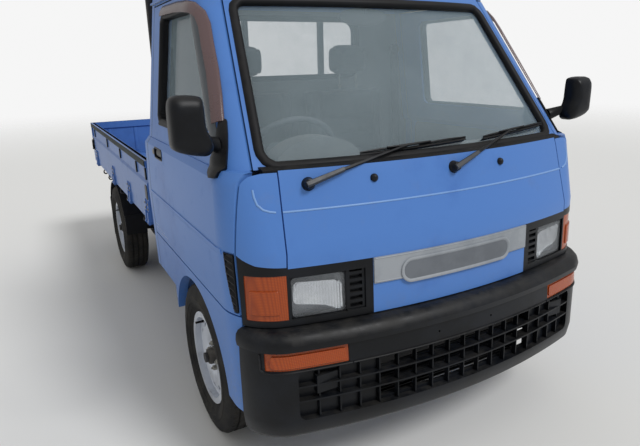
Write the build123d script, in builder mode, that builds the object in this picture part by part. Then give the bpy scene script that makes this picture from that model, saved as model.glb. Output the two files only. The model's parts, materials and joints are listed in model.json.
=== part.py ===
from build123d import *
import os
from functools import lru_cache
from math import asin, cos, pi, radians, sin, sqrt

# Kei truck, cab over the front axle, right-hand drive. Millimetres, +Z up, the truck faces -Y.
# The origin lies on the ground under the middle of the truck's overall box.
# "Behind" values are distances back from the front face of the bumper.

# Overall sizes
length = 3295
body_half_width = 690
bed_half_width = 684
guard_top = 1770

# Axles and wheels
front_overhang = 610
wheelbase = 1900
half_track = 605
tyre_radius = 271
tyre_width = 145
rim_radius = 152
rim_width = 112
hub_plane = 622
wheel_holes = 12

# Cab shell
skirt_bottom = 296
sill_bottom = 452
crease_height = 785
belt_height = 1005
door_bottom = 608
door_top = 1500
cab_back = 1240
door_front = 210
door_rear = 1150
cab_wall = 36
roof_top = 1692
bow_radius = 2400
back_corner = 45
panel_gap = 5
groove = 4
glass = 5

# Front face
panel_foot = 748
lamp_foot = 582
bumper_top = 578
bumper_foot = 244
bumper_wall = 34

# Bed
bed_front = 1262
bed_rear = 3270
bed_floor_top = 640
bed_floor_sheet = 20
gate_bottom = 616
gate_top = 892
gate_wall = 26
gate_hinge_height = 610

# Chassis
rail_inner = 330
rail_outer = 375
rail_bottom = 345
rail_top = 425
seat = 0.3


def station(behind):
    """Y of a point measured back from the front face of the bumper."""
    return behind - length / 2


front_axle = station(front_overhang)
rear_axle = front_axle + wheelbase


def block(x0, x1, d0, d1, z0, z1, mode=Mode.ADD):
    """Box between two corners, its depth given behind the bumper."""
    with Locations(((x0 + x1) / 2, station((d0 + d1) / 2), (z0 + z1) / 2)):
        Box(abs(x1 - x0), d1 - d0, z1 - z0, mode=mode)


def pair(x0, x1, d0, d1, z0, z1, mode=Mode.ADD):
    """The same box on both sides of the truck."""
    block(x0, x1, d0, d1, z0, z1, mode)
    block(-x1, -x0, d0, d1, z0, z1, mode)


def rod(radius, half, x, d, z, across=True, mode=Mode.ADD):
    """Round bar centred on a point, lying across or along the truck."""
    turn = (0, 90, 0) if across else (90, 0, 0)
    with Locations(Location((x, station(d), z), turn)):
        Cylinder(radius, 2 * half, mode=mode)


def side_prism(outline, x0, x1, mode=Mode.ADD):
    """Side-view outline of (behind, z) corners, made solid from x0 to x1."""
    with BuildSketch(Plane.YZ.offset(x0)) as view:
        with BuildLine():
            Polyline([(station(d), z) for d, z in outline], close=True)
        make_face()
    extrude(view.sketch, amount=x1 - x0, mode=mode)


def front_prism(outline, d0, d1, mode=Mode.ADD):
    """Front-view outline of (x, z) corners, made solid from d0 back to d1."""
    with BuildSketch(Plane.XZ.offset(-station(d0))) as view:
        with BuildLine():
            Polyline(outline, close=True)
        make_face()
    extrude(view.sketch, amount=d0 - d1, mode=mode)


def nose_outline(z, nose, bow_end, half_width, back, corner=back_corner):
    """Plan outline: bowed front, round front corners, straight sides, small rear corners."""
    slope = asin(bow_end / bow_radius)
    start = nose + bow_radius - sqrt(bow_radius**2 - bow_end**2)
    radius = (half_width - bow_end) / (1 - sin(slope))
    side = start + radius * cos(slope)
    middle = -(pi / 2 - slope) / 2
    turn_x = half_width - radius + radius * cos(middle)
    turn_d = side + radius * sin(middle)
    ease = corner * (1 - sqrt(0.5))
    with BuildSketch(Plane.XY.offset(z)) as plan:
        with BuildLine():
            ThreePointArc((-bow_end, station(start)), (0, station(nose)), (bow_end, station(start)))
            for side_x in (1, -1):
                front = (side_x * half_width, station(side))
                rear = (side_x * half_width, station(back - corner))
                inner = (side_x * (half_width - corner), station(back))
                bend = (side_x * (half_width - ease), station(back - ease))
                turn = (side_x * turn_x, station(turn_d))
                ThreePointArc((side_x * bow_end, station(start)), turn, front)
                Line(front, rear)
                ThreePointArc(rear, bend, inner)
            Line((half_width - corner, station(back)), (corner - half_width, station(back)))
        make_face()
    return plan.sketch


@lru_cache(maxsize=None)
def cab_loft(rows, inset=0.0, lean=1.0, smooth=False):
    """Cab body between plan outlines, drawn in by a wall thickness when asked."""
    outlines = []
    for z, nose, bow_end, half_width, back in rows:
        slope = bow_end / bow_radius
        radius = (half_width - bow_end) / (1 - slope) - inset
        inner_half = half_width - inset
        inner_bow = inner_half - radius * (1 - slope)
        rear_corner = max(back_corner - inset, 6)
        outlines.append(nose_outline(z, nose + inset * lean, inner_bow, inner_half, back - inset, rear_corner))
    with BuildPart() as body:
        loft(outlines, ruled=not smooth)
    return body.part


# Cab sections: height, nose, end of the front bow, half width, back
lower_rows = (
    (skirt_bottom, 40, 556, 680, cab_back),
    (crease_height, 62, 560, 690, cab_back),
    (belt_height - 22, 118, 598, 684, cab_back),
    (belt_height, 126, 600, 668, cab_back - 4),
)
upper_rows = (
    (belt_height, 154, 592, 664, cab_back - 6),
    (door_top, 540, 528, 600, cab_back - 6),
)
roof_rows = (
    (door_top, 540, 528, 600, cab_back - 6),
    (1580, 606, 505, 588, cab_back - 12),
    (1636, 690, 470, 560, cab_back - 32),
    (1668, 780, 400, 500, cab_back - 75),
    (roof_top, 900, 250, 350, cab_back - 150),
)
screen_lean = 1.27

lower_outer = cab_loft(lower_rows)
upper_outer = cab_loft(upper_rows)
with BuildPart() as lower_skin:
    add(lower_outer)
    add(cab_loft(lower_rows, cab_wall), mode=Mode.SUBTRACT)
with BuildPart() as upper_skin:
    add(upper_outer)
    add(cab_loft(upper_rows, cab_wall, screen_lean), mode=Mode.SUBTRACT)


def gap_line(z, shift=0.0):
    """Place of the door's front gap behind the bumper at a height."""
    return door_front + 5 - (belt_height - z) * 18 / 397 + shift


def save(builder, name):
    """Label a finished sub-part and write its STEP file."""
    builder.part.label = name
    export_step(builder.part, f"parts/{name}.step")


os.makedirs("parts", exist_ok=True)

# Frame: two rails, crossmembers, cab mounts and the beam behind the bumper
# Crossmembers: place behind the bumper, underside, top
crossmembers = (
    (170, 353, 417),
    (905, 353, 417),
    (1750, 397, 417),
    (2180, 353, 417),
    (2830, 353, 417),
    (2985, 353, 417),
    (3215, 353, 417),
)
beam_front = 100
plate_half = 105
plate_hole = 3.5
beam_z = (385, 440)
tail_radius = 66
tail_height = 380
cradle_top = tail_height - tail_radius - seat
tail_post = 3215
with BuildPart() as frame_rails:
    pair(rail_inner, rail_outer, beam_front, 3240, rail_bottom, rail_top)
    for behind, low, high in crossmembers:
        block(-rail_inner, rail_inner, behind - 22, behind + 22, low, high)
    block(-rail_inner, rail_inner, 1460, 1510, cradle_top - 25, cradle_top)
    pair(rail_inner - 20, rail_inner, 1460, 1510, cradle_top, rail_top - 8)
    for behind, half in ((240, 30), (cab_back - 20, 14)):
        pair(rail_inner + 4, rail_outer - 4, behind - half, behind + half, rail_top, sill_bottom)
    block(-520, 520, beam_front, beam_front + 30, *beam_z)
    block(-600, 600, 3240, 3262, 470, 560)
    for hole_x in (-plate_half, plate_half):
        rod(plate_hole, 20, hole_x, 3251, 515, across=False, mode=Mode.SUBTRACT)
    pair(rail_inner, rail_outer, tail_post, 3240, rail_bottom, 560)
save(frame_rails, "frame_rails")

# Engine under the seats, one closed block on two feet
engine_half = 250
with BuildPart() as engine_block:
    block(-engine_half, engine_half, 930, 1198, 300, 610)
    pair(engine_half, rail_inner, 1040, 1100, 370, 410)
save(engine_block, "engine_block")

# Gearbox and propeller shaft
diff_radius = 105
pinion_height = tyre_radius + 17
pinion_reach = 150
shaft_end = pinion_reach + 3.1
gearbox_radius = 92
gearbox_height = 402
with BuildPart() as drive_line:
    rod(gearbox_radius, 96, 0, 1294, gearbox_height, across=False)
    rod(tail_radius, 80, 0, 1460, tail_height, across=False)
    start = Vector(0, station(1530), tail_height - 5)
    end = Vector(0, rear_axle - shaft_end, pinion_height)
    with BuildSketch(Plane(origin=start, z_dir=end - start)):
        Circle(28)
    extrude(amount=(end - start).length)
save(drive_line, "drive_line")

# Rear axle: tube, differential housing, brake drums and stub shafts
drum_radius = 100
stub_radius = 18
with BuildPart() as rear_axle_beam:
    rod(36, 560, 0, 2510, tyre_radius)
    with Locations((0, rear_axle, tyre_radius)):
        Sphere(diff_radius)
    rod(44, pinion_reach / 4, 0, 2510 - pinion_reach * 3 / 4, pinion_height, across=False)
    for side_x in (1, -1):
        rod(drum_radius, 35, side_x * (hub_plane - 36), 2510, tyre_radius)
        rod(stub_radius, 24, side_x * (hub_plane + 23), 2510, tyre_radius)
save(rear_axle_beam, "rear_axle")

# Leaf springs, their shackles and dampers
spring_x = 430
spring_half = 25
spring_reach = 470
spring_camber = 118
leaf = 8
leaf_halves = (470, 370, 255)
axle_tube = 36
spring_top = tyre_radius - axle_tube - 20
spring_eye = spring_top + spring_camber
with BuildPart() as leaf_springs:
    for count, half in enumerate(leaf_halves):
        top_z = spring_top - leaf * count
        rise = spring_camber * (half / spring_reach) ** 2
        with BuildSketch(Plane.YZ.offset(spring_x - spring_half)):
            with BuildLine():
                top = ThreePointArc(
                    (rear_axle - half, top_z + rise), (rear_axle, top_z), (rear_axle + half, top_z + rise)
                )
                base = ThreePointArc(
                    (rear_axle - half, top_z + rise - leaf),
                    (rear_axle, top_z - leaf),
                    (rear_axle + half, top_z + rise - leaf),
                )
                Line(top @ 0, base @ 0)
                Line(top @ 1, base @ 1)
            make_face()
        extrude(amount=2 * spring_half)
    behind_axle = front_overhang + wheelbase
    block(spring_x - 32, spring_x + 32, behind_axle - 40, behind_axle + 40, spring_top, spring_top + 20)
    for end in (-spring_reach, spring_reach):
        rod(17, 32, spring_x, behind_axle + end, spring_eye)
        block(rail_outer, spring_x - 25, behind_axle + end - 20, behind_axle + end + 20, spring_eye - 15, 400)
    mirror(about=Plane.YZ)
save(leaf_springs, "leaf_springs")

# Front suspension: lower arms with ball seats, strut mounts, crossmember and steering rack
kingpin_low = (590, tyre_radius - 91)
ball_radius = 13
kingpin_high = (470, 590)
kingpin_lean = (kingpin_low[0] - kingpin_high[0]) / (kingpin_high[1] - kingpin_low[1])
with BuildPart() as front_suspension:
    block(-rail_inner, rail_inner, front_overhang - 40, front_overhang + 40, 290, rail_bottom)
    pair(rail_inner - 60, rail_outer, front_overhang - 40, front_overhang + 40, 290, rail_bottom)
    with BuildSketch(Plane.XZ.offset(-station(front_overhang - 22))) as arm:
        with BuildLine():
            ball_top = kingpin_low[1] - 1 - seat
            Polyline([(340, 290), (375, 290), (560, ball_top), (606, ball_top), (606, ball_top - 19),
                      (556, ball_top - 19), (340, 262)],
                     close=True)
        make_face()
    extrude(arm.sketch, amount=-44)
    with Locations((kingpin_low[0], front_axle, kingpin_low[1])):
        Sphere(ball_radius + seat, mode=Mode.SUBTRACT)
    mirror(about=Plane.YZ)
    rod(24, 300, 0, 760, 300)
    for side_x in (1, -1):
        with Locations(Location((side_x * 325, station(760), 300), (0, side_x * 90, 0))):
            Cone(30, 20, 90)
    pair(200, 240, 648, 760, 292, 310)
save(front_suspension, "front_suspension")

# Wheels: tyre and pressed steel rim, turned about the wheel's own axis
flange_radius = 167
bead_half = 49
sidewall_radius = 212
shoulder_half = 61
barrel = 6
stub_clearance = 0.3


def wheel_plane(side_x, behind):
    """Plane through a wheel's middle: local x runs outboard, local y is the radius."""
    out = (side_x, 0, 0)
    return Plane(origin=(side_x * half_track, station(behind), tyre_radius), x_dir=out, z_dir=(0, -side_x, 0))


def make_tyre(plane):
    """Closed tyre with round shoulders and bulged walls, its axle along the plane's x."""
    with BuildPart() as tyre:
        with BuildSketch(plane):
            with BuildLine():
                bead = rim_radius + seat
                ends = []
                for turn in (1, -1):
                    wall = ThreePointArc(
                        (turn * bead_half, flange_radius + 1),
                        (turn * tyre_width / 2, sidewall_radius),
                        (turn * shoulder_half, tyre_radius - 9),
                    )
                    Line((turn * bead_half, bead), wall @ 0)
                    Line(wall @ 1, (turn * 48, tyre_radius - 1))
                ThreePointArc((-48, tyre_radius - 1), (0, tyre_radius), (48, tyre_radius - 1))
                Line((-bead_half, bead), (bead_half, bead))
            make_face()
        revolve(axis=Axis(plane.origin, plane.x_dir))
    return tyre


def make_rim(plane):
    """Barrel with two flanges, and a bowed disc with a ring of holes."""
    hub_face = hub_plane - half_track
    flange = bead_half + seat
    with BuildPart() as rim:
        with BuildSketch(plane):
            with BuildLine():
                Polyline(
                    [
                        (-flange, rim_radius),
                        (-flange, flange_radius),
                        (-flange - barrel, flange_radius),
                        (-flange - barrel, rim_radius - barrel),
                        (-20, rim_radius - barrel),
                        (-14, rim_radius - 20),
                        (hub_face - 6, rim_radius - 20),
                        (hub_face + 9, 128),
                        (hub_face + 14, 104),
                        (hub_face + 8, 76),
                        (hub_face, 66),
                        (hub_face, stub_radius + stub_clearance),
                        (hub_face + 8, stub_radius + stub_clearance),
                        (hub_face + 8, 62),
                        (hub_face + 16, 72),
                        (hub_face + 22, 104),
                        (hub_face + 17, 130),
                        (hub_face + 4, rim_radius - 14),
                        (32, rim_radius - barrel),
                        (flange + barrel, rim_radius - barrel),
                        (flange + barrel, flange_radius),
                        (flange, flange_radius),
                        (flange, rim_radius),
                        (28, rim_radius),
                        (hub_face, rim_radius - 8),
                        (-12, rim_radius - 13),
                        (-18, rim_radius),
                    ],
                    close=True,
                )
            make_face()
        revolve(axis=Axis(plane.origin, plane.x_dir))
        face = Plane(origin=plane.origin, z_dir=plane.x_dir)
        with BuildSketch(face):
            with PolarLocations(116, wheel_holes):
                Circle(9)
        extrude(amount=80, mode=Mode.SUBTRACT)
    return rim


# Wheel places: end name, distance of the axle behind the bumper
axle_ends = (("front", front_overhang), ("rear", front_overhang + wheelbase))
side_signs = (("right", -1), ("left", 1))
for end_name, behind in axle_ends:
    for side_name, side_x in side_signs:
        axle = wheel_plane(side_x, behind)
        save(make_tyre(axle), f"tyre_{end_name}_{side_name}")
        save(make_rim(axle), f"rim_{end_name}_{side_name}")

# Knuckles: strut tube, upright, brake drum and stub shaft, turning on a leaning kingpin
front_drum = 78
strut_radius = 21
strut_foot = 240
strut_top = 574


def kingpin_x(z):
    """Distance of the leaning kingpin from the truck's middle at a height."""
    return kingpin_low[0] - kingpin_lean * (z - kingpin_low[1])


for side_name, side_x in side_signs:
    with BuildPart() as knuckle:
        rod(front_drum, 26, side_x * (hub_plane - 27), front_overhang, tyre_radius)
        rod(stub_radius, 24, side_x * (hub_plane + 23), front_overhang, tyre_radius)
        low_x = side_x * kingpin_low[0]
        drum_foot = tyre_radius - front_drum
        block(low_x - 13, low_x + 13, front_overhang - 13, front_overhang + 13, kingpin_low[1] + 6, drum_foot + 6)
        with Locations((low_x, front_axle, kingpin_low[1])):
            Sphere(ball_radius)
        start = Vector(side_x * kingpin_x(strut_foot), front_axle, strut_foot)
        end = Vector(side_x * kingpin_x(strut_top), front_axle, strut_top)
        strut_plane = Plane(origin=start, z_dir=end - start)
        with BuildSketch(strut_plane):
            Circle(strut_radius)
        extrude(amount=(end - start).length)
        with BuildSketch(strut_plane.offset(300)):
            Circle(26)
        extrude(amount=40)
    save(knuckle, f"knuckle_{side_name}")

# Front face: gap between the front panel and the corner panels leans outward going down
panel_gap_low = (549, panel_foot)
panel_gap_high = (538, 993)
lamp_inner = 303
rind = 12


def panel_gap_x(z):
    """Half width of the front panel at a height."""
    slope = (panel_gap_high[0] - panel_gap_low[0]) / (panel_gap_high[1] - panel_gap_low[1])
    return panel_gap_low[0] + slope * (z - panel_gap_low[1])


gap_top = panel_gap_x(belt_height)
gap_low = panel_gap_x(panel_foot)
with BuildPart() as panel_groove:
    add(lower_outer)
    add(cab_loft(lower_rows, rind), mode=Mode.SUBTRACT)
    strips = [
        [(x - groove / 2, belt_height + 1), (x + groove / 2, belt_height + 1), (y + groove / 2, 740),
         (y - groove / 2, 740)]
        for x, y in ((gap_top, gap_low), (-gap_top, -gap_low))
    ]
    with BuildPart(mode=Mode.PRIVATE) as lines:
        for strip in strips:
            front_prism(strip, 0, 300)
    add(lines.part, mode=Mode.INTERSECT)

# Front panel with the garnish pocket between the lamps
garnish_half = 302
garnish_foot = 671
pocket = 8
with BuildPart() as garnish_space:
    add(lower_outer)
    add(cab_loft(lower_rows, pocket), mode=Mode.SUBTRACT)
    with Locations((0, station(80), (garnish_foot + panel_foot) / 2)):
        Box(2 * garnish_half, 160, panel_foot - garnish_foot, mode=Mode.INTERSECT)

with BuildPart() as front_panel:
    add(lower_skin.part)
    outline = [
        (-gap_top, belt_height), (gap_top, belt_height), (gap_low, panel_foot), (lamp_inner, panel_foot),
        (lamp_inner, lamp_foot), (-lamp_inner, lamp_foot), (-lamp_inner, panel_foot), (-gap_low, panel_foot),
    ]
    front_prism(outline, 0, 330, Mode.INTERSECT)
    add(panel_groove.part, mode=Mode.SUBTRACT)
    add(garnish_space.part, mode=Mode.SUBTRACT)
save(front_panel, "front_panel")

# Silver garnish, standing a little proud of the panel
proud = 5
with BuildPart() as front_garnish:
    add(cab_loft(lower_rows, -proud))
    add(cab_loft(lower_rows, pocket - seat), mode=Mode.SUBTRACT)
    with Locations((0, station(80), (garnish_foot + panel_foot) / 2)):
        Box(2 * (garnish_half - seat), 160, panel_foot - garnish_foot - 2 * seat, mode=Mode.INTERSECT)
save(front_garnish, "front_garnish")

# Side view of the corner panel and lamp bezel: they end at the door's front gap
gap_half = 3.5
corner_top = belt_height - 5
bezel_top = ((0, panel_foot), (124, panel_foot + 4), (160, 760), (186, 774))


def fixed_edge(z):
    """Rear edge of the fixed front panels at a height."""
    return gap_line(z, -gap_half)


with BuildPart() as corner_panels:
    add(lower_skin.part)
    outline = [(0, corner_top), (196, corner_top), (204, corner_top - 6), (fixed_edge(975), 975)]
    outline += [(fixed_edge(crease_height), crease_height)] + list(reversed(bezel_top))
    side_prism(outline, -720, 720, Mode.INTERSECT)
    middle = [(panel_gap_x(z), z) for z in (740, 1010)]
    front_prism(middle + [(-x, z) for x, z in reversed(middle)], -10, 400, Mode.SUBTRACT)
    add(panel_groove.part, mode=Mode.SUBTRACT)
save(corner_panels, "corner_panels")

# Lamp bezels, open for the headlamp and for the turn lamp round the corner
lens_span = (384, 544)
lens_z = (600, 722)
turn_span = (551, 652)
turn_z = (600, 730)
turn_rear = 190
with BuildPart() as lamp_bezels:
    add(lower_skin.part)
    outline = [(0, lamp_foot), (fixed_edge(lamp_foot), lamp_foot), (fixed_edge(crease_height), crease_height)]
    side_prism(outline + list(reversed(bezel_top)), -720, 720, Mode.INTERSECT)
    block(-lamp_inner, lamp_inner, 0, 400, 500, 800, Mode.SUBTRACT)
    block(-gap_low, gap_low, 0, 400, panel_foot, 800, Mode.SUBTRACT)
    pair(*lens_span, 0, turn_rear, *lens_z, Mode.SUBTRACT)
    pair(*turn_span, 0, turn_rear, *turn_z, Mode.SUBTRACT)
    with BuildPart(mode=Mode.PRIVATE) as slots:
        with BuildPart(mode=Mode.PRIVATE) as fields:
            for low in range(609, 715, 21):
                pair(335, 373, 0, 200, low, low + 12)
        add(cab_loft(lower_rows, 4))
        add(cab_loft(lower_rows, 18), mode=Mode.SUBTRACT)
        add(fields.part, mode=Mode.INTERSECT)
    with BuildPart(mode=Mode.PRIVATE) as shallow:
        add(cab_loft(lower_rows, -1))
        add(cab_loft(lower_rows, 5), mode=Mode.SUBTRACT)
        with BuildPart(mode=Mode.PRIVATE) as fields:
            pair(327, lens_span[0] + 1, 0, 200, 603, 722)
        add(fields.part, mode=Mode.INTERSECT)
    add(slots.part, mode=Mode.SUBTRACT)
    add(shallow.part, mode=Mode.SUBTRACT)
save(lamp_bezels, "lamp_bezels")


def lamp_body(rows, span, heights, front, rear, depth):
    """Pair of lamp blocks cut out of the body's own thickness, a seat clear of the bezel."""
    with BuildPart() as lamps:
        add(cab_loft(rows, front))
        add(cab_loft(rows, rear), mode=Mode.SUBTRACT)
        with BuildPart(mode=Mode.PRIVATE) as fields:
            pair(span[0] + seat, span[1] - seat, 0, depth - seat, heights[0] + seat, heights[1] - seat)
        add(fields.part, mode=Mode.INTERSECT)
    return lamps


save(lamp_body(lower_rows, lens_span, lens_z, 7, 34, turn_rear), "headlamps")

# Bumper: sections like the cab's, height, nose, end of the bow, half width
bumper_rows = (
    (bumper_foot, 28, 560, 668, 400),
    (262, 12, 560, 676, 400),
    (306, 4, 560, 680, 400),
    (466, 9, 562, 682, 400),
    (522, 14, 562, 682, 400),
    (527, 3, 563, 687, 400),
    (545, 0, 564, 689, 400),
    (563, 8, 565, 688, 400),
    (bumper_top - 5, 22, 566, 684, 400),
    (bumper_top, 36, 566, 676, 400),
)
bumper_rear = 191
bumper_lamp_span = (404, 632)
bumper_lamp_z = (468, 520)
bumper_lamp_rear = 160
intake_half = 310
plate_height = 494
grille_half = 552
grille_z = (308, 462)
grille_depth = 22
grille_bars = (367, 412)
intake_rows = ((318, 362), (372, 407), (417, 450))
grille_fins = 17
grille_rows = bumper_rows[1:5]
fin_pitch = 2 * grille_half / (grille_fins + 1)


def bumper_band(front, rear, rows=bumper_rows):
    """Layer of the bumper between two depths under its face."""
    with BuildPart(mode=Mode.PRIVATE) as band:
        add(cab_loft(rows, front))
        add(cab_loft(rows, rear), mode=Mode.SUBTRACT)
    return band.part


with BuildPart() as grille:
    with BuildSketch(Plane.XZ.offset(-station(-10))) as view:
        with Locations((0, sum(grille_z) / 2)):
            RectangleRounded(2 * grille_half, grille_z[1] - grille_z[0], 22)
    extrude(view.sketch, amount=-200)
with BuildPart() as grille_grid:
    for bar in grille_bars:
        block(-grille_half - 1, grille_half + 1, -10, 190, bar - 2.5, bar + 2.5)
    add(bumper_band(1, grille_depth + 2, grille_rows), mode=Mode.INTERSECT)
with BuildPart() as fins:
    for count in range(grille_fins):
        middle = (count + 1) * fin_pitch - grille_half
        block(middle - 2, middle + 2, -10, 190, grille_z[0] - 2, grille_z[1] + 2)
    add(bumper_band(7, grille_depth + 2, grille_rows), mode=Mode.INTERSECT)

with BuildPart() as front_bumper:
    add(bumper_band(0, bumper_wall))
    block(-720, 720, -10, bumper_rear, 200, 600, Mode.INTERSECT)
    pair(*bumper_lamp_span, -10, bumper_lamp_rear, *bumper_lamp_z, Mode.SUBTRACT)
    with BuildPart(mode=Mode.PRIVATE) as recess:
        add(bumper_band(-2, grille_depth, grille_rows))
        add(grille.part, mode=Mode.INTERSECT)
    add(recess.part, mode=Mode.SUBTRACT)
    for low, high in intake_rows:
        block(-intake_half, intake_half, -10, 120, low, high, Mode.SUBTRACT)
    add(grille_grid.part)
    add(fins.part)
    pair(430, 500, 60, beam_front, *beam_z)
    for hole_x in (-plate_half, plate_half):
        rod(plate_hole, 60, hole_x, 40, plate_height, across=False, mode=Mode.SUBTRACT)
save(front_bumper, "front_bumper")

with BuildPart() as amber_lamps:
    add(lamp_body(lower_rows, turn_span, turn_z, 2, 34, turn_rear).part)
    add(lamp_body(bumper_rows, bumper_lamp_span, bumper_lamp_z, 3, 30, bumper_lamp_rear).part)
save(amber_lamps, "amber_lamps")

# Inner front of the cab: a bulkhead behind the panels, with posts and arms for the door hinges
hinge_x = 655
hinge_d = 225
hinge_heights = (640, 805)
pin_radius = 5
pin_length = 60
floor_top = 470
bulkhead_gap = cab_wall + seat
with BuildPart() as cab_bulkhead:
    with BuildPart(mode=Mode.PRIVATE) as sheet:
        add(cab_loft(lower_rows, bulkhead_gap))
        add(cab_loft(lower_rows, bulkhead_gap + 12), mode=Mode.SUBTRACT)
        block(-590, 590, 0, 236, floor_top, belt_height - 20, Mode.INTERSECT)
    with BuildPart(mode=Mode.PRIVATE) as posts:
        add(cab_loft(lower_rows, bulkhead_gap))
        add(cab_loft(lower_rows, bulkhead_gap + 26), mode=Mode.SUBTRACT)
        with BuildPart(mode=Mode.PRIVATE) as post_space:
            pair(530, 593, 100, 262, floor_top, belt_height - 20)
        add(post_space.part, mode=Mode.INTERSECT)
    add(sheet.part)
    add(posts.part)
    for height in hinge_heights:
        for side_x in (1, -1):
            with Locations((side_x * hinge_x, station(hinge_d), height)):
                Cylinder(pin_radius, pin_length)
    with BuildPart(mode=Mode.PRIVATE) as arms:
        for height in hinge_heights:
            pair(582, hinge_x + 8, hinge_d - 6, hinge_d + 6, height - 14, height + 14)
            pair(582, 598, 206, hinge_d + 8, height - 14, height + 14)
        add(cab_loft(lower_rows, 13), mode=Mode.INTERSECT)
    add(arms.part)
save(cab_bulkhead, "cab_bulkhead")

# Floor, wheelhouses, seat riser and the outer sides below the doors
arch_radius = 302
house_inner = 312
house_wall = 12
house_side = 380
sill_top = door_bottom - panel_gap
riser_front = 690
riser_top = 640
with BuildPart() as cab_floor:
    with BuildPart(mode=Mode.PRIVATE) as sides:
        add(lower_skin.part)
        outline = [(196, sill_top), (196, skirt_bottom), (900, skirt_bottom), (900, sill_bottom),
                   (1150, sill_bottom), (1150, sill_top)]
        side_prism(outline, -720, 720, Mode.INTERSECT)
        block(-600, 600, 0, 1300, 200, 700, Mode.SUBTRACT)
    with BuildPart(mode=Mode.PRIVATE) as floor_fill:
        add(cab_loft(lower_rows, cab_wall - 1))
        block(-700, 700, 90, riser_front + 10, sill_bottom, floor_top, Mode.INTERSECT)
    add(sides.part)
    add(floor_fill.part)
    block(-640, 640, riser_front, riser_front + 10, floor_top, riser_top - 12)
    block(-640, 640, riser_front, cab_back - cab_wall - 1, riser_top - 12, riser_top)
    pair(632, 646, riser_front, 1150, sill_bottom, riser_top - 12)
    with BuildPart(mode=Mode.PRIVATE) as houses:
        for side_x in (1, -1):
            rod(house_inner + house_wall, 132, side_x * (house_side + 132), front_overhang, tyre_radius)
        block(-700, 700, 0, 1300, 380, 700, Mode.INTERSECT)
    add(houses.part)
    for side_x in (1, -1):
        deep = house_side + house_wall
        rod(house_inner, 127, side_x * (deep + 127), front_overhang, tyre_radius, mode=Mode.SUBTRACT)
        rod(arch_radius, 160, side_x * (deep + 160), front_overhang, tyre_radius, mode=Mode.SUBTRACT)
    pair(rail_inner - 10, house_side, 0, 1300, 300, sill_bottom, Mode.SUBTRACT)
save(cab_floor, "cab_floor")

# Door gap over the screen pillar: a leaning plane, level with the door's front edge lower down
pillar_start = 822
pillar_rise = 0.603


def pillar_plane(side_x, shift):
    """Plane of the gap between screen pillar and door, facing the door."""
    reach = pillar_start + shift
    return Plane(origin=(0, station(reach), belt_height), z_dir=(side_x, 1, -pillar_rise))


# Windscreen frame: pillars, foot and header round the opening
screen_low = (564, 1014)
screen_high = (497, 1468)
screen_corner = 38


def screen_field(margin, d0, d1):
    """Windscreen opening, drawn in by a margin, as a solid run back through the frame."""
    with BuildPart() as field:
        with BuildSketch(Plane.XZ.offset(-station(d0))) as view:
            with BuildLine():
                low_x, low_z = screen_low[0] - margin, screen_low[1] + margin
                high_x, high_z = screen_high[0] - margin, screen_high[1] - margin
                Polyline([(-low_x, low_z), (low_x, low_z), (high_x, high_z), (-high_x, high_z)], close=True)
            make_face()
            fillet(view.vertices(), screen_corner)
        extrude(amount=d0 - d1)
    return field.part


with BuildPart() as windscreen_frame:
    add(upper_skin.part)
    block(-720, 720, 100, 760, belt_height, door_top, Mode.INTERSECT)
    for side_x in (1, -1):
        split(bisect_by=pillar_plane(side_x, -gap_half * sqrt(2)), keep=Keep.BOTTOM)
    add(screen_field(0, 100, 760), mode=Mode.SUBTRACT)
save(windscreen_frame, "windscreen_frame")

# Rear wall of the cab with its window, and the cab glass
rear_window = (353, 1213, 1473)
rear_corner = 60
quarter_front = door_rear + panel_gap


def rear_field(margin):
    """Rear window opening as a solid through the back wall."""
    half, low, high = rear_window
    with BuildPart() as field:
        with BuildSketch(Plane.XZ.offset(-station(cab_back - 60))):
            with Locations((0, (low + high) / 2)):
                RectangleRounded(2 * (half - margin), high - low - 2 * margin, rear_corner - margin)
        extrude(amount=-90)
    return field.part


tunnel_half = 130
tunnel_top = 506
with BuildPart() as cab_rear:
    add(lower_skin.part)
    add(upper_skin.part)
    block(-720, 720, quarter_front, 1300, sill_bottom, door_top, Mode.INTERSECT)
    add(rear_field(0), mode=Mode.SUBTRACT)
    block(-tunnel_half, tunnel_half, 1100, 1300, sill_bottom, tunnel_top, Mode.SUBTRACT)
save(cab_rear, "cab_rear")

glass_depth = 14
with BuildPart() as cab_glass:
    add(cab_loft(upper_rows, glass_depth, screen_lean))
    add(cab_loft(upper_rows, glass_depth + glass, screen_lean), mode=Mode.SUBTRACT)
    with BuildPart(mode=Mode.PRIVATE) as fields:
        add(screen_field(seat, 100, 760))
        add(rear_field(seat))
    add(fields.part, mode=Mode.INTERSECT)
save(cab_glass, "cab_glass")

# Roof: domed panel with its inner hollow
roof_wall = 24
channel_proud = 9
inner_roof_rows = tuple(
    (z - (0 if count == 0 else roof_wall * 0.55 + count * 3), *row) for count, (z, *row) in enumerate(roof_rows)
)
with BuildPart() as cab_roof:
    add(cab_loft(roof_rows, smooth=True))
    add(cab_loft(inner_roof_rows, cab_wall, screen_lean, smooth=True), mode=Mode.SUBTRACT)
    block(-720, 720, 100, 1300, door_top, 1800, Mode.INTERSECT)
    with BuildPart(mode=Mode.PRIVATE) as channels:
        add(cab_loft(roof_rows, -channel_proud))
        add(cab_loft(roof_rows, 8), mode=Mode.SUBTRACT)
        with BuildPart(mode=Mode.PRIVATE) as fields:
            pair(400, 700, 660, 1190, door_top + 7, door_top + 14)
        add(fields.part, mode=Mode.INTERSECT)
    add(channels.part)
save(cab_roof, "cab_roof")

# Door window in side view: (behind, z)
window_foot = 1080
window_top = 1452
window_rear = 1020
window_lean = 0.725
window_front = 372


def window_outline(margin):
    """Corners of the door window, drawn in by a margin."""
    low, high = window_foot + margin, window_top - margin
    front = window_front + margin * 1.3
    return [
        (front + window_lean * (low - window_foot), low),
        (front + window_lean * (high - window_foot), high),
        (window_rear - margin, high),
        (window_rear - margin, low),
    ]


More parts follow.
